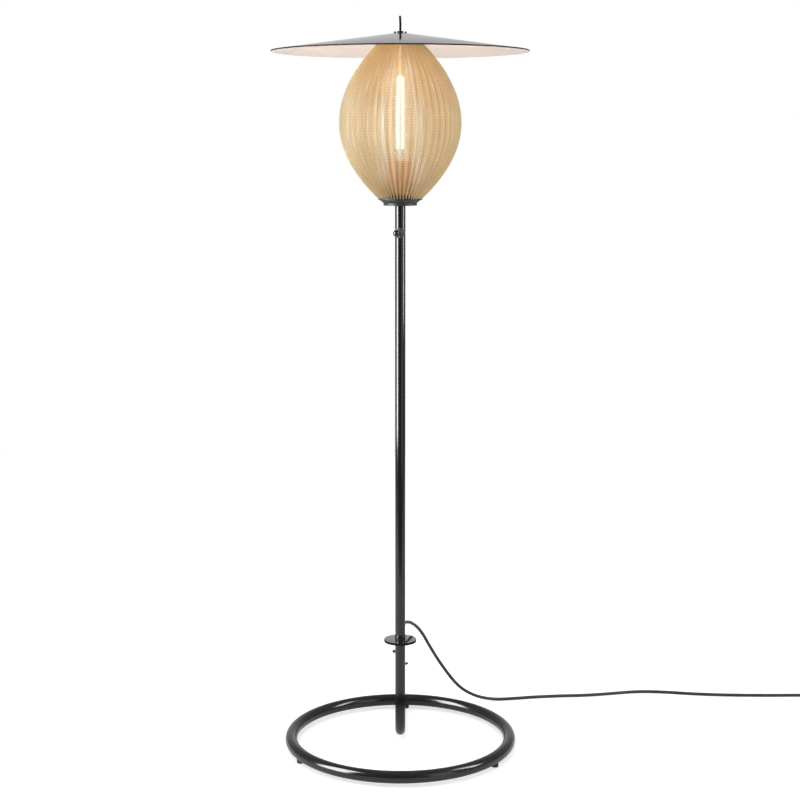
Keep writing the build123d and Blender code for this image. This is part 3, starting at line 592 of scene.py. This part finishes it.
def cup_inside(height):
    """Radius inside the cup's cone at a height above its flat."""
    return cup_foot + cup_slope * height - cup_across


# The rings take a darker copy of the shade's sheet colour: painted shade inside the cups.
warm_sheet = surface("warm_sheet", (0.3, 0.2, 0.11), (0.38, 0.26, 0.15), (0.35, 0.5), (50.0, 1400.0), 0.1)
rim_radius = cup_mouth + rim_proud
for end, level, up, hole, cup_node, ring_node in (
        ("lower", flange_top, 1, nipple_radius, "shade_cup", "shade_lower_ring"),
        ("upper", seat_bottom, -1, seat_bore, "upper_cup", "shade_upper_ring")):
    rim, mouth = level + up * (cup_height - rim_height), level + up * cup_height
    cup_floor = level + up * cup_wall
    line = [(hole, level), (cup_foot, level), (cup_mouth - cup_slope * rim_height, rim),
            (rim_radius, rim, 0.2), (rim_radius, mouth, 0.3), (cup_inside(cup_height), mouth),
            (cup_inside(cup_wall), cup_floor), (hole, cup_floor)]
    fit(turned(f"{end}_cup", line, around=128), satin_black, "head", "black_coat", cup_node)
    low = cup_height - ring_sheet
    line = [(ring_inside, level + up * low), (cup_inside(low), level + up * low),
            (cup_inside(cup_height), mouth), (ring_inside, mouth)]
    fit(turned(f"{end}_ring", line, around=128), warm_sheet, "head", "shade_sheet", ring_node)
shade_base = flange_top + cup_height
dark_fill_rim = shade_base + dark_fill_height
# Painted shade: a dark cone standing in for the shadow at the foot of the folds.
line = [(ring_inside, shade_base), (dark_fill_foot, shade_base), (dark_fill_top, dark_fill_rim),
        (dark_fill_top - dark_fill_lip, dark_fill_rim), (ring_inside, shade_base + dark_fill_sheet)]
fit(turned("lower_gasket", line, around=128), foot_rubber, "head", "foot_rubber")
fit(flat_disc("lid_seat_disc", seat_bore, seat_bottom, seat_top),
    satin_black, "head", "black_coat", "lid_seat")


# Pleated shade: thin perforated sheet folded into 48 even pleats and drawn in at both ends.
# Each fold keeps its width, so the pleats are shallow at the belly and deep at the cups.
# Staggered diamond holes, twice as tall as wide, cover it between plain hems.
belly_radius = 97.8
shade_lower, shade_upper = 119.3, 126.0
shade_sheet = 0.8
pleats, pleat_depth = 48, 2.3
hole_columns, hole_rows = 3, 62
hole_width, hole_height, hole_tip = 1.75, 3.4, 0.4
nominal_row = 4.45
hem = 3.0
gores = 6
crest_points = 161
merge_within = 0.00002
belly_painted_shade = 0.2
pleat_sharp = 25.0
fold_width = hypot(pi * belly_radius / pleats, pleat_depth)
column_width = fold_width / hole_columns

shade_tree, sockets = node_group("pleated_perforated_shade", {
    "Cells": "Geometry", "Belly radius": "Float", "End radius": "Float", "Base level": "Float",
    "Lower height": "Float", "Upper height": "Float", "Sheet": "Float", "Fold width": "Float",
    "Pleats": "Int", "Rows": "Int", "Column width": "Float", "Hem": "Float", "First pleat": "Int",
    "Pleats in piece": "Int", "Finish": "Material",
}, "Shade")
tree = shade_tree
(cells_in, belly_in, end_in, base_in, lower_in, upper_in, sheet_in, fold_in, pleats_in, rows_in, column_in,
 hem_in, first_in, count_in, finish_in) = sockets

# The crest line of a pleat: two parabolas that meet at the belly.
whole_height = plus(lower_in, upper_in)
line = geo("CurvePrimitiveLine", {"End": point(z=whole_height)})
line = geo("ResampleCurve", {"Curve": line, "Count": crest_points})
here = geo("InputPosition")
level = split(tree, here)["Z"]
above = minus(level, lower_in)
is_above = calc(tree, "GREATER_THAN", above, 0.0)
share = over(above, mixed(tree, is_above, lower_in, upper_in))
draw_in = minus(belly_in, end_in)
drop = times(draw_in, times(share, share))
crest = geo("SetPosition", {"Geometry": line, "Position": point(minus(belly_in, drop), 0.0, level)})
crest_length = geo("CurveLength", {0: crest})

# One flat panel: columns of holed cells, every second column half a row up, and plain hems.
holed_length = minus(crest_length, times(hem_in, 2.0))
row = over(holed_length, rows_in)
plain = geo("InputNamedAttribute", {"Name": "plain"}, data_type="BOOLEAN")
cells = add_node(tree, "GeometryNodeSeparateGeometry", {"Geometry": cells_in, "Selection": plain},
                 domain="FACE").outputs
panel_cells = add_node(tree, "GeometryNodeJoinGeometry")


def lay(cell, count, start, offset, height):
    """Repeat a cell along a line on the flat panel, stretched to a height."""
    spots = geo("MeshLine", {"Count": count, "Start Location": start, "Offset": offset})
    laid = geo("InstanceOnPoints", {"Points": spots, "Instance": cell, "Scale": point(1.0, height, 1.0)})
    tree.links.new(laid, panel_cells.inputs[0])


half_row = times(row, 0.5)
half_hem = times(hem_in, 0.5)
hem_step = minus(crest_length, hem_in)
for column in range(hole_columns):
    across = times(column_in, column + 0.5)
    shifted = column % 2
    first = plus(hem_in, row if shifted else half_row)
    count = minus(rows_in, 1.0) if shifted else rows_in
    lay(cells["Inverted"], count, point(across, first), point(y=row), row)
    lay(cells["Selection"], 2, point(across, half_hem), point(y=hem_step), hem_in)
    if shifted:
        low = plus(hem_in, times(row, 0.25))
        step = minus(holed_length, half_row)
        lay(cells["Selection"], 2, point(across, low), point(y=step), half_row)
panel = geo("RealizeInstances", {0: panel_cells.outputs[0]})

# The fold: across the panel from a crest to a valley, along it up the crest line.
flat = split(tree, here)
on_line = add_node(tree, "GeometryNodeSampleCurve", {"Curves": crest, "Length": flat["Y"]},
                   mode="LENGTH", use_all_curves=True)
on_line = split(tree, on_line.outputs["Position"])
half_angle = over(pi, pleats_in)
half_pitch = times(on_line["X"], half_angle)
depth = root(minus(power(fold_in, 2.0), power(half_pitch, 2.0)))
inset = over(times(sheet_in, fold_in), half_pitch)
crest_at = minus(on_line["X"], times(inset, flat["Z"]))
valley_at = minus(crest_at, depth)
across = over(flat["X"], fold_in)
valley_x = times(valley_at, cosine(half_angle))
valley_y = times(valley_at, sine(half_angle))
# Painted shade: a weight that darkens the sheet from crest to valley, lightly at the belly and fully where
# the lower half is drawn in, and the inner face is marked to be painted darker too.
drawn = over(minus(belly_in, on_line["X"]), draw_in)
is_below = calc(tree, "LESS_THAN", on_line["Z"], lower_in)
deep = mixed(tree, times(drawn, is_below), belly_painted_shade, 1.0)
for name, value in (("fold", times(across, deep)), ("inside", flat["Z"])):
    panel = geo("StoreNamedAttribute", {"Geometry": panel, "Name": name, "Value": value},
                data_type="FLOAT", domain="POINT")
folded = geo("SetPosition", {
    "Geometry": panel,
    "Position": point(mixed(tree, across, crest_at, valley_x), times(across, valley_y),
                      plus(on_line["Z"], base_in)),
})

# One pleat is the panel and its mirror image, and a gore is a row of pleats side by side.
mirror = geo("Transform", {"Geometry": folded, "Scale": (1.0, -1.0, 1.0)})
mirror = geo("FlipFaces", {0: mirror})
pleat = add_node(tree, "GeometryNodeJoinGeometry")
for half in (folded, mirror):
    tree.links.new(half, pleat.inputs[0])
spots = geo("MeshLine", {"Count": count_in, "Offset": (0.0, 0.0, 0.0)})
azimuth = times(plus(geo("InputIndex"), first_in), times(half_angle, 2.0))
ring = geo("InstanceOnPoints", {"Points": spots, "Instance": pleat.outputs[0],
                                "Rotation": point(z=azimuth)})
ring = geo("RealizeInstances", {0: ring})
ring = geo("MergeByDistance", {"Geometry": ring, "Distance": merge_within})
ring = geo("SetMaterial", {"Geometry": ring, "Material": finish_in})
add_node(tree, "NodeGroupOutput", {"Shade": ring})


def sheet_cells(name):
    """A holed cell and a plain one, both a row high and two layers deep, to lay side by side."""
    shape = bmesh.new()
    flag = shape.faces.layers.bool.new("plain")
    half = column_width / 2 * mm
    rim = [(half, 0.5), (-half, 0.5), (-half, 0.0), (-half, -0.5), (half, -0.5), (half, 0.0)]
    tip, side = hole_height / nominal_row / 2, hole_width / 2 * mm
    blunt = side * hole_tip
    bore = [(blunt, tip), (-blunt, tip), (-side, 0.0), (-blunt, -tip), (blunt, -tip), (side, 0.0)]
    edges = [(k, (k + 1) % 6) for k in range(6)]
    layers = []
    for layer, order in ((0.0, 1), (1.0, -1)):
        outside = [shape.verts.new((x, y, layer)) for x, y in rim]
        inside = [shape.verts.new((x, y, layer)) for x, y in bore]
        layers.append(inside)
        for k, n in edges:
            shape.faces.new((outside[k], outside[n], inside[n], inside[k])[::order])
        corners = ((-half, -0.5), (half, -0.5), (half, 0.5), (-half, 0.5))
        blank = [shape.verts.new((x, y, layer)) for x, y in corners]
        shape.faces.new(blank[::order])[flag] = True
    for k, n in edges:
        shape.faces.new((layers[0][k], layers[0][n], layers[1][n], layers[1][k]))
    return new_piece(name, shape)


def spread_flat(leaf):
    """A map for baking: a gore by azimuth and height, its outside and its inside side by side."""
    mesh = leaf.data

    def read(items, key, width, kind):
        values = np.empty(len(items) * width, kind)
        items.foreach_get(key, values)
        return values.reshape(-1, width)

    corners = read(mesh.loops, "vertex_index", 1, np.int32).ravel()
    spots = read(mesh.vertices, "co", 3, np.float32)[corners]
    counts = read(mesh.polygons, "loop_total", 1, np.int32).ravel()
    normals = np.repeat(read(mesh.polygons, "normal", 3, np.float32), counts, axis=0)
    inside = (normals[:, :2] * spots[:, :2]).sum(axis=1) < 0.0
    plan = spots[:, 0] + 1j * spots[:, 1]
    azimuth = np.angle(plan * np.exp(-1j * np.angle(plan.mean())))
    u = (azimuth - azimuth.min()) / np.ptp(azimuth)
    v = (spots[:, 2] - spots[:, 2].min()) / np.ptp(spots[:, 2])
    chart = mesh.uv_layers.new(name="OFBake")
    chart.data.foreach_set("uv", np.stack([u * 0.49 + 0.505 * inside, v * 0.99 + 0.005], axis=1).ravel())


# Painted shade: the sheet's colour is mixed towards dark brown in the valleys of the folds and on its inner
# face, standing in for the shadow in the creases and inside the shade.
tones = {"fold": (0.42, 0.22, 0.11, 1.0), "inside": (0.29, 0.195, 0.1, 1.0)}
shade_metal = surface(
    "shade_metal", (0.66, 0.54, 0.305), (0.735, 0.61, 0.357), (0.5, 0.62), (30.0, 1400.0), 0.1,
    Specular_IOR_Level=0.35)
tree = shade_metal.node_tree
coat = tree.nodes["Principled BSDF"].inputs["Base Color"]
for name, tone in tones.items():
    share = add_node(tree, "ShaderNodeAttribute", attribute_name=name).outputs["Fac"]
    painted_shade_mix = add_node(tree, "ShaderNodeMix", {0: share, 6: coat.links[0].from_socket, 7: tone},
                     data_type="RGBA")
    tree.links.new(painted_shade_mix.outputs[2], coat)
per_gore = pleats // gores
for gore in range(gores):
    leaf = sheet_cells(f"shade_gore_{gore + 1}")
    settle(leaf, shade_tree, Belly_radius=belly_radius * mm, End_radius=cup_mouth * mm,
           Base_level=shade_base * mm, Lower_height=shade_lower * mm, Upper_height=shade_upper * mm,
           Sheet=shade_sheet * mm, Fold_width=fold_width * mm, Pleats=pleats, Rows=hole_rows,
           Column_width=column_width * mm, Hem=hem * mm, First_pleat=gore * per_gore,
           Pleats_in_piece=per_gore, Finish=shade_metal)
    shape = bmesh.new()
    shape.from_mesh(leaf.data)
    bmesh.ops.bridge_loops(shape, edges=[edge for edge in shape.edges if edge.is_boundary])
    bmesh.ops.recalc_face_normals(shape, faces=shape.faces)
    shape.to_mesh(leaf.data)
    shape.free()
    leaf.data.shade_smooth()
    leaf.data.set_sharp_from_angle(angle=radians(pleat_sharp))
    spread_flat(leaf)
    fit(leaf, None, "head", "shade_sheet", "shade_front", "shade_back")


# Lampholder: a moulded base on a threaded nipple through the cup, with a sleeve round the
# bulb's cap and a brass thread inside.
holder_bottom, holder_joint, holder_top = 915.4, 939.4, 978.0
holder_radius, holder_foot = 19.25, 9.0
holder_shoulder = 12.0
socket_radius, socket_depth = 14.5, 6.0
joint_gap = 0.3
sleeve_bore = 15.6
groove_levels, groove_depth = (946.0, 949.0, 952.0), 0.6
holder_plastic = surface(
    "holder_plastic", (0.5, 0.15, 0.045), (0.6, 0.185, 0.06), (0.35, 0.5), (40.0, 1300.0), 0.1)
seam, socket_floor = holder_joint - joint_gap, holder_joint - socket_depth
holder_line = [(nipple_radius, holder_bottom), (holder_foot, holder_bottom)]
holder_line += [(holder_foot + (holder_radius - holder_foot) * sin(t),
                 holder_bottom + holder_shoulder * (1 - cos(t))) for t in arc(12)[1:]]
holder_line += [(holder_radius, seam, 0.3), (socket_radius, seam), (socket_radius, socket_floor),
                (nipple_radius, socket_floor)]
fit(turned("holder_base_cup", holder_line), holder_plastic, "head", "holder_plastic", "holder_base")
sleeve_line = [(sleeve_bore, holder_joint), (holder_radius, holder_joint, 0.3)]
groove_floor = holder_radius - groove_depth
for groove in groove_levels:
    sleeve_line += [(holder_radius, groove), (groove_floor, groove + 0.4), (groove_floor, groove + 1.1),
                    (holder_radius, groove + 1.5)]
sleeve_line += [(holder_radius, holder_top, 1.0), (sleeve_bore, holder_top, 1.0)]
fit(turned("holder_sleeve_ring", sleeve_line), holder_plastic, "head", "holder_plastic", "holder_sleeve")
pale_ceramic = surface(
    "pale_ceramic", (0.72, 0.7, 0.65), (0.8, 0.78, 0.73), (0.5, 0.65), (60.0, 900.0), 0.1)
clad(brass, "holder_thread_shell", "holder_contact")
clad(pale_ceramic, "holder_insulator")
clad(steel, "nipple", "nipple_nut")


# Bulb: tubular clear glass on a screw cap, with a glass stem and one long glowing strand
# folded like a hairpin. The bulb is lit, as the lamp was photographed.
cap_top = 969.0
glass_radius, glass_wall = 15.0, 0.9
neck_radius, neck_top = 12.9, 981.0
dome_level = 1107.0
stem_foot, stem_tip, stem_top = 11.0, 5.5, 985.0
strand_half = 4.0
strand_radius, sleeve_radius, lead_radius = 1.9, 4.2, 0.5
strand_bottom, strand_top = 997.0, 1109.4
lead_bottom, lead_top = stem_top - 4.0, strand_bottom + 1.0
strand_watts = (0.05, 0.1, 0.25, 0.8, 2.5)
strand_light, light_softness = (1.0, 0.86, 0.66), 0.008
clear_glass = surface(
    "clear_glass", (0.02, 0.018, 0.015), (0.03, 0.027, 0.022), (0.03, 0.06), (30.0, 400.0), 0.02,
    Alpha=0.05, Emission_Color=(1.0, 0.88, 0.66, 1.0), Emission_Strength=0.8)


def dome(radius):
    """A quarter circle from the tube's side to its top."""
    side = [(radius * cos(t), dome_level + radius * sin(t)) for t in arc(12)[:-1]]
    return side + [(0.0, dome_level + radius)]


def glowing(name, strength, alpha=1.0):
    """A finish of the lit strand."""
    return surface(name, (0.02, 0.018, 0.012), (0.03, 0.026, 0.018), (0.5, 0.6), (200.0, 3000.0), 0.1,
                   Alpha=alpha, Emission_Color=(1.0, 0.9, 0.7, 1.0), Emission_Strength=strength)


inner = glass_radius - glass_wall
glass_line = [(glass_radius, neck_top), (neck_radius, cap_top), (neck_radius - glass_wall, cap_top),
              (inner, neck_top)]
glass_line = dome(glass_radius)[::-1] + glass_line + dome(inner)
fit(turned("bulb_envelope", glass_line, around=64), clear_glass, "head", "bulb_glass", "bulb_glass")
line = [(0.0, cap_top), (stem_foot, cap_top), (stem_foot, cap_top + 2.0, 0.6), (stem_tip, stem_top, 1.5),
        (0.0, stem_top)]
fit(turned("bulb_inner_stem", line, around=48), clear_glass, "head", "bulb_glass", "bulb_stem")
hairpin = [(-strand_half * cos(t), 0.0, strand_top - strand_half * (1 - sin(t))) for t in arc(16, pi)]
hairpin = [(hairpin[0][0], 0.0, strand_bottom)] + hairpin + [(hairpin[-1][0], 0.0, strand_bottom)]
fit(piped("glowing_strand", hairpin, strand_radius, 20),
    glowing("strand_glow", 4.0), "head", "filament", "bulb_filament")
fit(piped("strand_sleeve", hairpin, sleeve_radius, 24),
    glowing("sleeve_glow", 1.4, 0.35), "head", "filament")
for side, x in (("left", -strand_half), ("right", strand_half)):
    fit(piped(f"strand_lead_{side}", [(x, 0.0, lead_bottom), (x, 0.0, lead_top)], lead_radius, 12),
        steel, "head", "filament")
plated = metal("plated_cap", (0.6, 0.6, 0.58), (0.74, 0.74, 0.72), (0.12, 0.22), (60.0, 900.0), 0.05)
clad(plated, "bulb_cap")
clad(brass, "bulb_tip")
for k, watts in enumerate(strand_watts):
    level = strand_bottom + (strand_top - strand_bottom) * (k + 0.5) / len(strand_watts)
    lamp = hang_light(f"strand_light_{k + 1}", "POINT", watts, strand_light, (0.0, 0.0, level * mm))
    lamp.data.shadow_soft_size = light_softness
    lamp.visible_glossy = False


# Disc: a wide shallow cone of spun aluminium, gloss black above and warm white below. A hub
# under it centres it in the upper cup's opening, held by two small screws, so it lifts off.
disc_radius, disc_rise, disc_sheet = 205.0, 28.8, 2.0
disc_edge = 0.3
seat_edge = 26.0
lid_gap = 0.3
eyelet_neck = 4.1
disc_slope = disc_rise / disc_radius
disc_drop = disc_sheet * hypot(1.0, disc_slope)
disc_apex = seat_top + lid_gap + disc_slope * seat_edge + disc_drop


def disc_top(radius):
    """Height of the disc's upper face at a radius."""
    return disc_apex - disc_slope * radius


def disc_below(radius):
    """Height of the disc's underside at a radius."""
    return disc_top(radius) - disc_drop


disc_gloss = surface("disc_gloss", 0.009, 0.013, (0.1, 0.16), (10.0, 500.0), 0.04)
disc_white = surface(
    "disc_white", (0.8, 0.69, 0.645), (0.85, 0.735, 0.69), (0.45, 0.6), (12.0, 900.0), 0.08)
line = [(eyelet_neck, disc_top(eyelet_neck)), (disc_radius, disc_top(disc_radius), disc_edge),
        (disc_radius, disc_below(disc_radius), disc_edge), (eyelet_neck, disc_below(eyelet_neck))]
disc = turned("disc_cone", line, around=256)
fit(disc, disc_gloss, "lid", "disc_sheet", "disc")
disc.data.materials.append(disc_white)
disc.data.materials.append(edge_black)
for face in disc.data.polygons:
    face.material_index = 2 if abs(face.normal.z) < flat_share else int(face.normal.z < 0.0)

hub_radius, hub_wall = 19.6, 1.5
hub_depth, hub_plate = 10.0, 3.0
hub_metal = metal("hub_metal", (0.62, 0.62, 0.6), (0.74, 0.74, 0.72), (0.3, 0.45), (50.0, 1300.0), 0.08)
hub_rim = disc_below(hub_radius)
hub_floor, hub_bottom = hub_rim - hub_plate, hub_rim - hub_depth
hub_bore = hub_radius - hub_wall
line = [(eyelet_neck, disc_below(eyelet_neck)), (hub_radius, hub_rim), (hub_radius, hub_bottom, 0.5),
        (hub_bore, hub_bottom, 0.4), (hub_bore, hub_floor), (eyelet_neck, hub_floor)]
fit(turned("centring_hub", line), hub_metal, "lid", "hub_aluminium", "disc_hub")

hub_screw_circle = 8.4
screw_head, screw_rise, screw_shank, screw_socket = 2.0, 2.0, 1.3, 0.8
screw_seat = disc_top(hub_screw_circle - screw_head)
screw_crown, socket_end = screw_seat + screw_rise, screw_seat + screw_rise / 2
dark_steel = metal("dark_steel", 0.03, 0.05, (0.25, 0.4), (90.0, 1500.0), 0.08)
line = [(0.0, hub_floor), (screw_shank, hub_floor), (screw_shank, screw_seat), (screw_head, screw_seat),
        (screw_head, screw_crown, 0.9), (screw_socket, screw_crown), (screw_socket, socket_end),
        (0.0, socket_end)]
hub_screws = turned("hub_screw_pair", line, around=32)
settle(hub_screws, round_tree, Count=2, Circle_radius=hub_screw_circle * mm, First_azimuth=0.0,
       Finish=dark_steel)
fit(hub_screws, None, "lid", "steel", "hub_screws")


# Carrying loop: a round leather thong, both ends through an eyelet at the disc's middle and
# crimped in a ferrule below. It stands up by its own stiffness, with a slight sway.
thong_radius = 1.75
leg_gap = 1.7
loop_foot = hub_floor - 6.0
eyelet_bore, eyelet_flange, eyelet_top = 3.4, 4.9, disc_apex + 1.8
leather = surface(
    "leather", 0.003, (0.006, 0.0055, 0.005), (0.5, 0.68), (160.0, 2600.0), 0.4, Specular_IOR_Level=0.15)


def strung(name, points, radius, roundness, smoothness):
    """One open round strand along control points in millimetres."""
    data = bpy.data.curves.new(name, "CURVE")
    data.dimensions = "3D"
    data.bevel_depth = radius * mm
    data.bevel_resolution = roundness
    data.resolution_u = smoothness
    data.use_fill_caps = True
    spline = data.splines.new("NURBS")
    spline.points.add(len(points) - 1)
    for place, (x, y, z) in zip(spline.points, points):
        place.co = (x * mm, y * mm, z * mm, 1.0)
    spline.order_u = 3
    spline.use_endpoint_u = True
    return put(name, data)


bow = [(0.0, -leg_gap, 0.0), (0.1, -2.4, 4.5), (0.3, -10.6, 12.0), (0.0, -9.6, 19.0), (-0.3, -3.4, 24.1),
       (-0.3, 3.4, 24.1), (-0.1, 9.6, 19.0), (0.2, 10.6, 12.0), (0.1, 2.4, 4.5), (0.0, leg_gap, 0.0)]
bow = [(x, y, disc_apex + z) for x, y, z in bow]
loop_points = [(0.0, -leg_gap, loop_foot)] + bow + [(0.0, leg_gap, loop_foot)]
loop_path = strung("loop_path", loop_points, thong_radius, 6, 10)
bpy.context.view_layer.update()
shown = loop_path.evaluated_get(bpy.context.evaluated_depsgraph_get())
loop_mesh = bpy.data.meshes.new_from_object(shown)
bpy.data.objects.remove(loop_path)
shape = bmesh.new()
shape.from_mesh(loop_mesh)
bmesh.ops.remove_doubles(shape, verts=shape.verts, dist=0.000001)
bmesh.ops.recalc_face_normals(shape, faces=shape.faces)
fit(new_piece("carrying_loop", shape), leather, "lid", "leather", "carry_loop")
line = [(eyelet_bore, hub_floor), (eyelet_neck, hub_floor), (eyelet_neck, disc_apex - 0.4),
        (eyelet_flange, disc_apex - 0.6), (eyelet_flange, eyelet_top, 0.5), (eyelet_bore, eyelet_top, 0.3)]
fit(turned("eyelet_ring", line, around=64), cap_black, "lid", "plated_cap", "loop_eyelet")
clad(steel, "loop_ferrule")


# Mains cord: black rubber flex. It leaves the pole's back through a grommet, droops to the
# floor and wanders off to the right. The rest of its length is coiled beyond the picture's
# edge and tied, and the moulded plug lies beside the coil.
cord_radius = 2.8
exit_azimuth, exit_height = 72.0, 207.0
coil_x, coil_y = 800.0, 199.1
coil_outer, coil_inner = 41.9, 25.1
layer_low, layer_high = 3.8, 9.4
layer_turns = 3
turn_points = 24
climb_tuck = 0.7
cord_rubber = surface("cord_rubber", 0.012, (0.026, 0.026, 0.025), (0.38, 0.52), (45.0, 1800.0), 0.3)
cord_points = [
    (3.245, 9.986, 207.0), (7.88, 24.25, 207.0), (19.0, 54.0, 198.0), (36.0, 88.5, 173.0),
    (54.5, 120.7, 129.0), (78.5, 153.0, 82.0), (106.0, 181.5, 38.5), (138.0, 204.5, 13.5),
    (172.0, 219.0, 2.9), (207.0, 224.5, 2.9), (248.0, 233.5, 2.9), (295.0, 239.2, 2.9),
    (342.0, 241.8, 2.9), (390.0, 252.2, 2.9), (437.0, 263.8, 2.9), (483.0, 261.5, 2.9),
    (530.0, 251.5, 2.9), (579.0, 245.0, 2.9), (630.0, 242.3, 2.9), (680.0, 241.8, 2.9),
    (725.0, 242.6, 2.9), (765.0, 241.0, 3.8), (800.0, 241.0, 3.8),
]
coil_swell = 1.0 / cos(pi / turn_points)
for k in range(1, (2 * layer_turns + 1) * turn_points + turn_points // 4):
    turn = k / turn_points
    if turn < layer_turns:
        radius, height = coil_outer + (coil_inner - coil_outer) * turn / layer_turns, layer_low
    elif turn < layer_turns + 1:
        climb = turn - layer_turns
        radius = coil_inner - climb_tuck * cord_radius * sin(pi * climb)
        height = layer_low + (layer_high - layer_low) * climb
    else:
        out = (turn - layer_turns - 1) / layer_turns
        radius, height = min(coil_inner + (coil_outer - coil_inner) * out, coil_outer), layer_high
    angle = 2 * pi * turn
    cord_points.append((coil_x + radius * coil_swell * sin(angle),
                        coil_y + radius * coil_swell * cos(angle), height))
cord_points += [(841.9, 199.1, 9.4), (841.9, 179.1, 9.4), (841.9, 159.1, 18.5), (841.9, 139.1, 18.5)]
flex = strung("mains_flex", cord_points, cord_radius, 5, 6)
fit(flex, cord_rubber, "stand", "cord_rubber", "mains_cord", "cord_coil", "cord_tail")
clad(cord_rubber, "pole_cable", "stem_cable")
grommet, _ = boss("exit_grommet", facing(exit_azimuth, exit_height),
                  foot=6.0, tip=6.0, reach=10.5, bore=2.9, edge=0.8)
fit(grommet, foot_rubber, "stand", "foot_rubber", "cord_grommet")


# Tie: a strip of hook-and-loop tape wrapped once round the coil's turns, its end pressed down
# over its start.
tie_azimuth = radians(223.55)
tie_width, tie_sheet = 10.0, 1.0
coil_middle = 33.5
wrap_x, wrap_z, wrap_round = 11.2, 5.6, 2.8
tie_fabric = surface("tie_fabric", 0.018, (0.045, 0.045, 0.043), (0.8, 0.95), (500.0, 3500.0), 0.8)
section = ((-0.5, 0.15), (-0.46, 0.0), (0.46, 0.0), (0.5, 0.15),
           (0.5, 0.85), (0.46, 1.0), (-0.46, 1.0), (-0.5, 0.85))
outwards = Vector((cos(tie_azimuth), sin(tie_azimuth), 0.0))
along = Vector((-outwards.y, outwards.x, 0.0))
tie_centre = Vector((coil_x, coil_y, tie_sheet + wrap_z)) + outwards * coil_middle
rings = []
for corner, (right, top) in enumerate(((1, 1), (-1, 1), (-1, -1), (1, -1))):
    cx, cz = right * (wrap_x - wrap_round), top * (wrap_z - wrap_round)
    for t in arc(6):
        nx, nz = cos(t + corner * pi / 2), sin(t + corner * pi / 2)
        ring = []
        for side, layer in section:
            out = wrap_round + tie_sheet * layer
            spot = tie_centre + outwards * (cx + nx * out) + Vector((0, 0, cz + nz * out))
            ring.append(spot + along * side * tie_width)
        rings.append(ring)
tape = fit(skin("coil_tape", rings), tie_fabric, "stand", "tie_fabric", "coil_tie")


# Plug: a round two-pin plug moulded in black rubber in one with its ribbed strain relief,
# with two plated pins.
plug_x, plug_back, plug_height = 841.9, 139.1, 18.5
plug_radius, plug_length = 18.5, 56.0
relief_radius, relief_flare, relief_length = 3.8, 1.4, 22.0
relief_ribs, rib_start, rib_depth = 5, 2.0, 0.7
shoulder_radius, shoulder_start, shoulder_end = 12.0, 28.0, 44.0
step_start, step_end, step_depth = 53.0, 53.4, 0.5
pin_radius, pin_length, pin_spacing = 2.4, 19.0, 19.0
pin_sunk, pin_tip = 1.0, 2.1
plug_axis = (Matrix.Translation((plug_x * mm, plug_back * mm, plug_height * mm))
             @ Matrix.Rotation(radians(90), 4, "X"))
plug_rubber = surface("plug_rubber", 0.013, (0.022, 0.022, 0.021), (0.45, 0.6), (50.0, 1500.0), 0.2)
plug_line = [(0.0, 0.0), (relief_radius, 0.0, 0.5)]
for rib in range(relief_ribs):
    start = rib_start + rib * (relief_length - rib_start) / relief_ribs
    radius = relief_radius + relief_flare * start / relief_length
    plug_line += [(radius, start), (radius - rib_depth, start + 0.5), (radius - rib_depth, start + 1.5),
                  (radius + 0.1, start + 2.0)]
plug_line += [(relief_radius + relief_flare, relief_length), (shoulder_radius, shoulder_start, 1.2)]
plug_line += [(shoulder_radius + (plug_radius - shoulder_radius) * sin(t),
               shoulder_start + (shoulder_end - shoulder_start) * (1 - cos(t))) for t in arc(8)[1:-1]]
plug_line += [(plug_radius, shoulder_end), (plug_radius, step_start), (plug_radius - step_depth, step_end),
              (plug_radius - step_depth, plug_length, 1.0), (0.0, plug_length)]
plug = fit(turned("plug_moulding", plug_line, plug_axis), plug_rubber, "stand", "cord_rubber", "plug_body")
pin_section = band(0.0, pin_radius, plug_length - pin_sunk, plug_length + pin_length, 0.0, pin_tip)
pins = turned("plug_pin_pair", pin_section, around=32)
settle(pins, round_tree, Count=2, Circle_radius=pin_spacing / 2 * mm, First_azimuth=0.0, Finish=plated)
pins.data.transform(plug_axis)
fit(pins, None, "stand", "plated_cap", "plug_pins")
